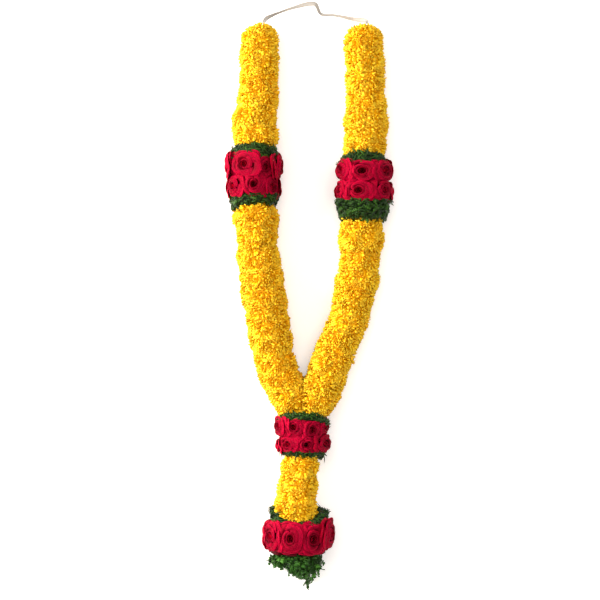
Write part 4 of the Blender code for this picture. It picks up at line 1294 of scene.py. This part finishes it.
def leaf_finish(name, root, tip_hex, pale):
    """Satin leaf, darker at its root, with some leaves paler than others.

    Its waxy skin gives it a soft satin sheen. The veins are noise at 2 mm.
    """
    finish, shader = new_material(name, Roughness=0.45, IOR=1.45)
    shader.inputs["Specular IOR Level"].default_value = 0.22
    tree = finish.node_tree
    tip = add_node(tree, "ShaderNodeAttribute", attribute_name="tip").outputs["Fac"]
    single = add_node(tree, "ShaderNodeAttribute", attribute_name="leaf_shade").outputs["Fac"]
    along = add_node(tree, "ShaderNodeMix", {
        0: tip, 6: linear(root), 7: linear(tip_hex)}, data_type="RGBA")
    share = add_node(tree, "ShaderNodeMapRange", {0: single, 1: 0.55, 2: 1.0, 3: 0.0, 4: 0.8})
    mixed = add_node(tree, "ShaderNodeMix", {
        0: share, 6: along, 7: linear(pale)}, data_type="RGBA")
    tree.links.new(mixed.outputs[2], shader.inputs["Base Color"])
    place = add_node(tree, "ShaderNodeTexCoord").outputs["Object"]
    veins = add_node(tree, "ShaderNodeTexNoise", {"Vector": place, "Scale": 500.0, "Detail": 3.0})
    bump = add_node(tree, "ShaderNodeBump", {"Height": veins, "Strength": 0.3, "Distance": 0.6 * MM})
    tree.links.new(bump.outputs["Normal"], shader.inputs["Normal"])
    return finish


dark_leaf = leaf_finish("satin_collar_leaf", "0B1A03", "1B3A0A", "386018")
fresh_leaf = leaf_finish("satin_tassel_leaf", "163206", "31601C", "4C802C")
print("leaf finishes:", dark_leaf.name, fresh_leaf.name)

# %% [markdown]
# Seven collars
#
# A collar is a ring of leaves that hides the foot of the roses. Its place against the
# roses matters more than its exact solid, so its bed is a ring of its own, round the string
# and wide enough to reach the roses. In the hand such rings slip, so their sides lie a
# little behind the front or ahead of it. Two of them have the broad lobed leaves.

# %% Collar bands
BAND_SIDES = 40
BAND_RINGS = 8
BAND_BULGE = 2.0 * MM
BROAD_COLLARS = ("foliage_right_bottom", "foliage_left_bottom")
COLLARS = {
    # node: middle across, place and half width at the roses, place and half width at the flowers,
    # how far the left and the right side fall behind the front, all in mm, and the share of
    # that fall that the edge at the roses follows
    "foliage_left_top": (-101.7, (267, 40.0), (290, 40.5), (12, 8), 1.0),
    "foliage_left_bottom": (-100.0, (204, 40.5), (189, 38.5), (16, 1), 0.3),
    "foliage_right_top": (96.3, (257, 41.0), (275, 40.0), (14, 13), 0.8),
    "foliage_right_bottom": (95.7, (194, 46.0), (160, 39.5), (0, 0), 1.0),
    "foliage_middle_top": (-11.1, (-205, 42.5), (-194, 42.0), (6, 15), 1.0),
    "foliage_middle_bottom": (-14.7, (-256, 38.0), (-267, 36.0), (-4, 8), 1.0),
    "foliage_end_top": (-20.0, (-401, 52.0), (-391, 45.0), (-29, -24), 1.0),
}


def collar_band(node):
    """A closed ring of a bed for leaves, wide at the roses and narrower at the flowers."""
    centre_x, (root_y, root_half), (tip_y, tip_half), falls, follow = COLLARS[node]
    bm = bmesh.new()
    rings = []
    for i in range(BAND_RINGS + 1):
        share = i / BAND_RINGS
        y = (root_y + (tip_y - root_y) * share) * MM
        half = (root_half + (tip_half - root_half) * share) * MM + BAND_BULGE * math.sin(math.pi * share)
        axis = string_centre(Vector((centre_x * MM, y, 0)))
        ring = []
        for k in range(BAND_SIDES):
            angle = TURN * k / BAND_SIDES
            fall = falls[0] if math.sin(angle) < 0 else falls[1]
            fall *= min(1 - math.cos(angle), 1.0) * (follow + (1 - follow) * share) * MM
            x = centre_x * MM + half * math.sin(angle)
            ring.append(bm.verts.new((x, y - fall, axis.z + half * math.cos(angle))))
        rings.append(ring)
    bridge(bm, rings, closed=True)
    bm.faces.new(rings[0][::-1])
    bm.faces.new(rings[-1])
    as_triangles(bm)
    band = bpy.data.objects.new(node + "_bed", to_mesh(node + "_bed", bm))
    bpy.context.scene.collection.objects.link(band)
    return band


def lay_leaves(name, node, bed, finish, values):
    """Cover the bed that stands for a frame node with leaves."""
    low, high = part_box(node)
    lay = bed.modifiers.new("leaves", "NODES")
    lay.node_group = layers
    set_inputs(lay, {"Material": finish, "Centre": tuple((Vector(low) + Vector(high)) / 2), **values})
    mesh = plain_mesh(bed, name)
    press_on_table(mesh)
    leaves = make_object(name, mesh, finish)
    stands_for(leaves, node)
    print(name, len(mesh.polygons), "faces")


for seed, node in enumerate(COLLARS):
    way = 1.0 if node.endswith("top") else -1.0
    broad = node in BROAD_COLLARS
    lay_leaves(node.replace("foliage", "leaves"), node, collar_band(node), dark_leaf, {
        "Leaves": broad_box if broad else collar_box, "Leaf spacing": (3.9 if broad else 2.9) * MM,
        "Direction": (0.0, way, 0.0), "Flare": 0.35, "Swing": 5.0, "Spread": 0.0,
        "Smallest": 0.6, "Largest": 0.9, "Shrink": 0.0, "Facing": (0.0, 0.0, 0.5), "Seed": seed})

# %% [markdown]
# The tassel
#
# Its leaves hang in two bunches with a gap between them, the left one shorter. The bed is
# the frame's own tassel, narrowed towards its tip and parted at its middle. The leaves point
# down and away from the middle, swing little and have the broadest lobes.

# %% Hang the tassel
TASSEL_TOP = -425 * MM
TASSEL_DROP = 70 * MM
TASSEL_MIDDLE = (-41 * MM, -38 * MM)    # between its two bunches, at its top and at its tip
TASSEL_SQUEEZE = (1.0, 0.70)
PARTING_Y = -458 * MM
PARTING_GROWS = 12 * MM
PARTING = 14 * MM           # how far each bunch moves away from the middle
LEFT_LIFT = 20 * MM         # the left bunch is the shorter one
RIGHT_LIFT = 3 * MM
tassel_bed = bed_of("foliage_tassel", 1.5 * MM, 2)
low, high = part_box("foliage_tassel")
tuck_ends(tassel_bed, low, high, 0, 10)
for vert in tassel_bed.data.vertices:
    aside = vert.co.x - TASSEL_MIDDLE[0]
    drop = min(max((TASSEL_TOP - vert.co.y) / TASSEL_DROP, 0), 1)
    parting = min(max((PARTING_Y - vert.co.y) / PARTING_GROWS, 0), 1)
    middle, squeeze = (top + (end - top) * drop for top, end in (TASSEL_MIDDLE, TASSEL_SQUEEZE))
    vert.co.x = middle + aside * squeeze + math.copysign(PARTING, aside) * parting
    vert.co.y += (LEFT_LIFT if aside < 0 else RIGHT_LIFT) * parting * drop
lay_leaves("leaves_tassel", "foliage_tassel", tassel_bed, fresh_leaf, {
    "Leaves": tassel_box, "Leaf spacing": 5.2 * MM, "Direction": (0.0, -1.0, 0.0), "Flare": 0.25,
    "Swing": 0.9, "Spread": 3.0, "Smallest": 0.7, "Largest": 1.1, "Shrink": 0.06,
    "Facing": (0.0, 0.0, 0.5), "Seed": 9})

# %% [markdown]
# The string
#
# Only its two cut tops show, where the ribbon is tied on. The frame's solid is kept, with
# a matt twine finish whose strands wind round it once in about 10 mm.

# %% String finish
# Cotton twine is dull and hairy, and shows its twist as a band of light on every strand. The lighter colour
# of those bands is a painted highlight; the same bands give the bump.
twine, shader = new_material("twisted_cotton_twine", Roughness=0.9)
tree = twine.node_tree
place = add_node(tree, "ShaderNodeTexCoord").outputs["Object"]
strands = add_node(tree, "ShaderNodeTexWave", {
    "Vector": place, "Scale": 60.0, "Distortion": 2.0, "Detail": 1.0}, bands_direction="DIAGONAL")
strands = strands.outputs["Fac"]
# Painted highlight: the lighter tan follows the crest of each strand.
colour = add_node(tree, "ShaderNodeMix", {
    0: strands, 6: linear("A8825A"), 7: linear("D8BC94")}, data_type="RGBA")
tree.links.new(colour.outputs[2], shader.inputs["Base Color"])
bump = add_node(tree, "ShaderNodeBump", {"Height": strands, "Strength": 0.5, "Distance": 0.8 * MM})
tree.links.new(bump.outputs["Normal"], shader.inputs["Normal"])
for material_slot in string_node.material_slots:
    material_slot.material = twine
print("string has", len(string_node.material_slots), "finish")

# %% [markdown]
# The size of the whole
#
# The meshes now hold their own copies of every petal and leaf, so the boxes of shapes go.
# Petals and leaves reach a little past the plain solids. The outer box of the whole is then
# found.

# %% Sizes and finish
for box in (petal_box, collar_box, broad_box, tassel_box):
    for thing in list(box.objects):
        bpy.data.objects.remove(thing)
    bpy.data.collections.remove(box)
low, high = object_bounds()
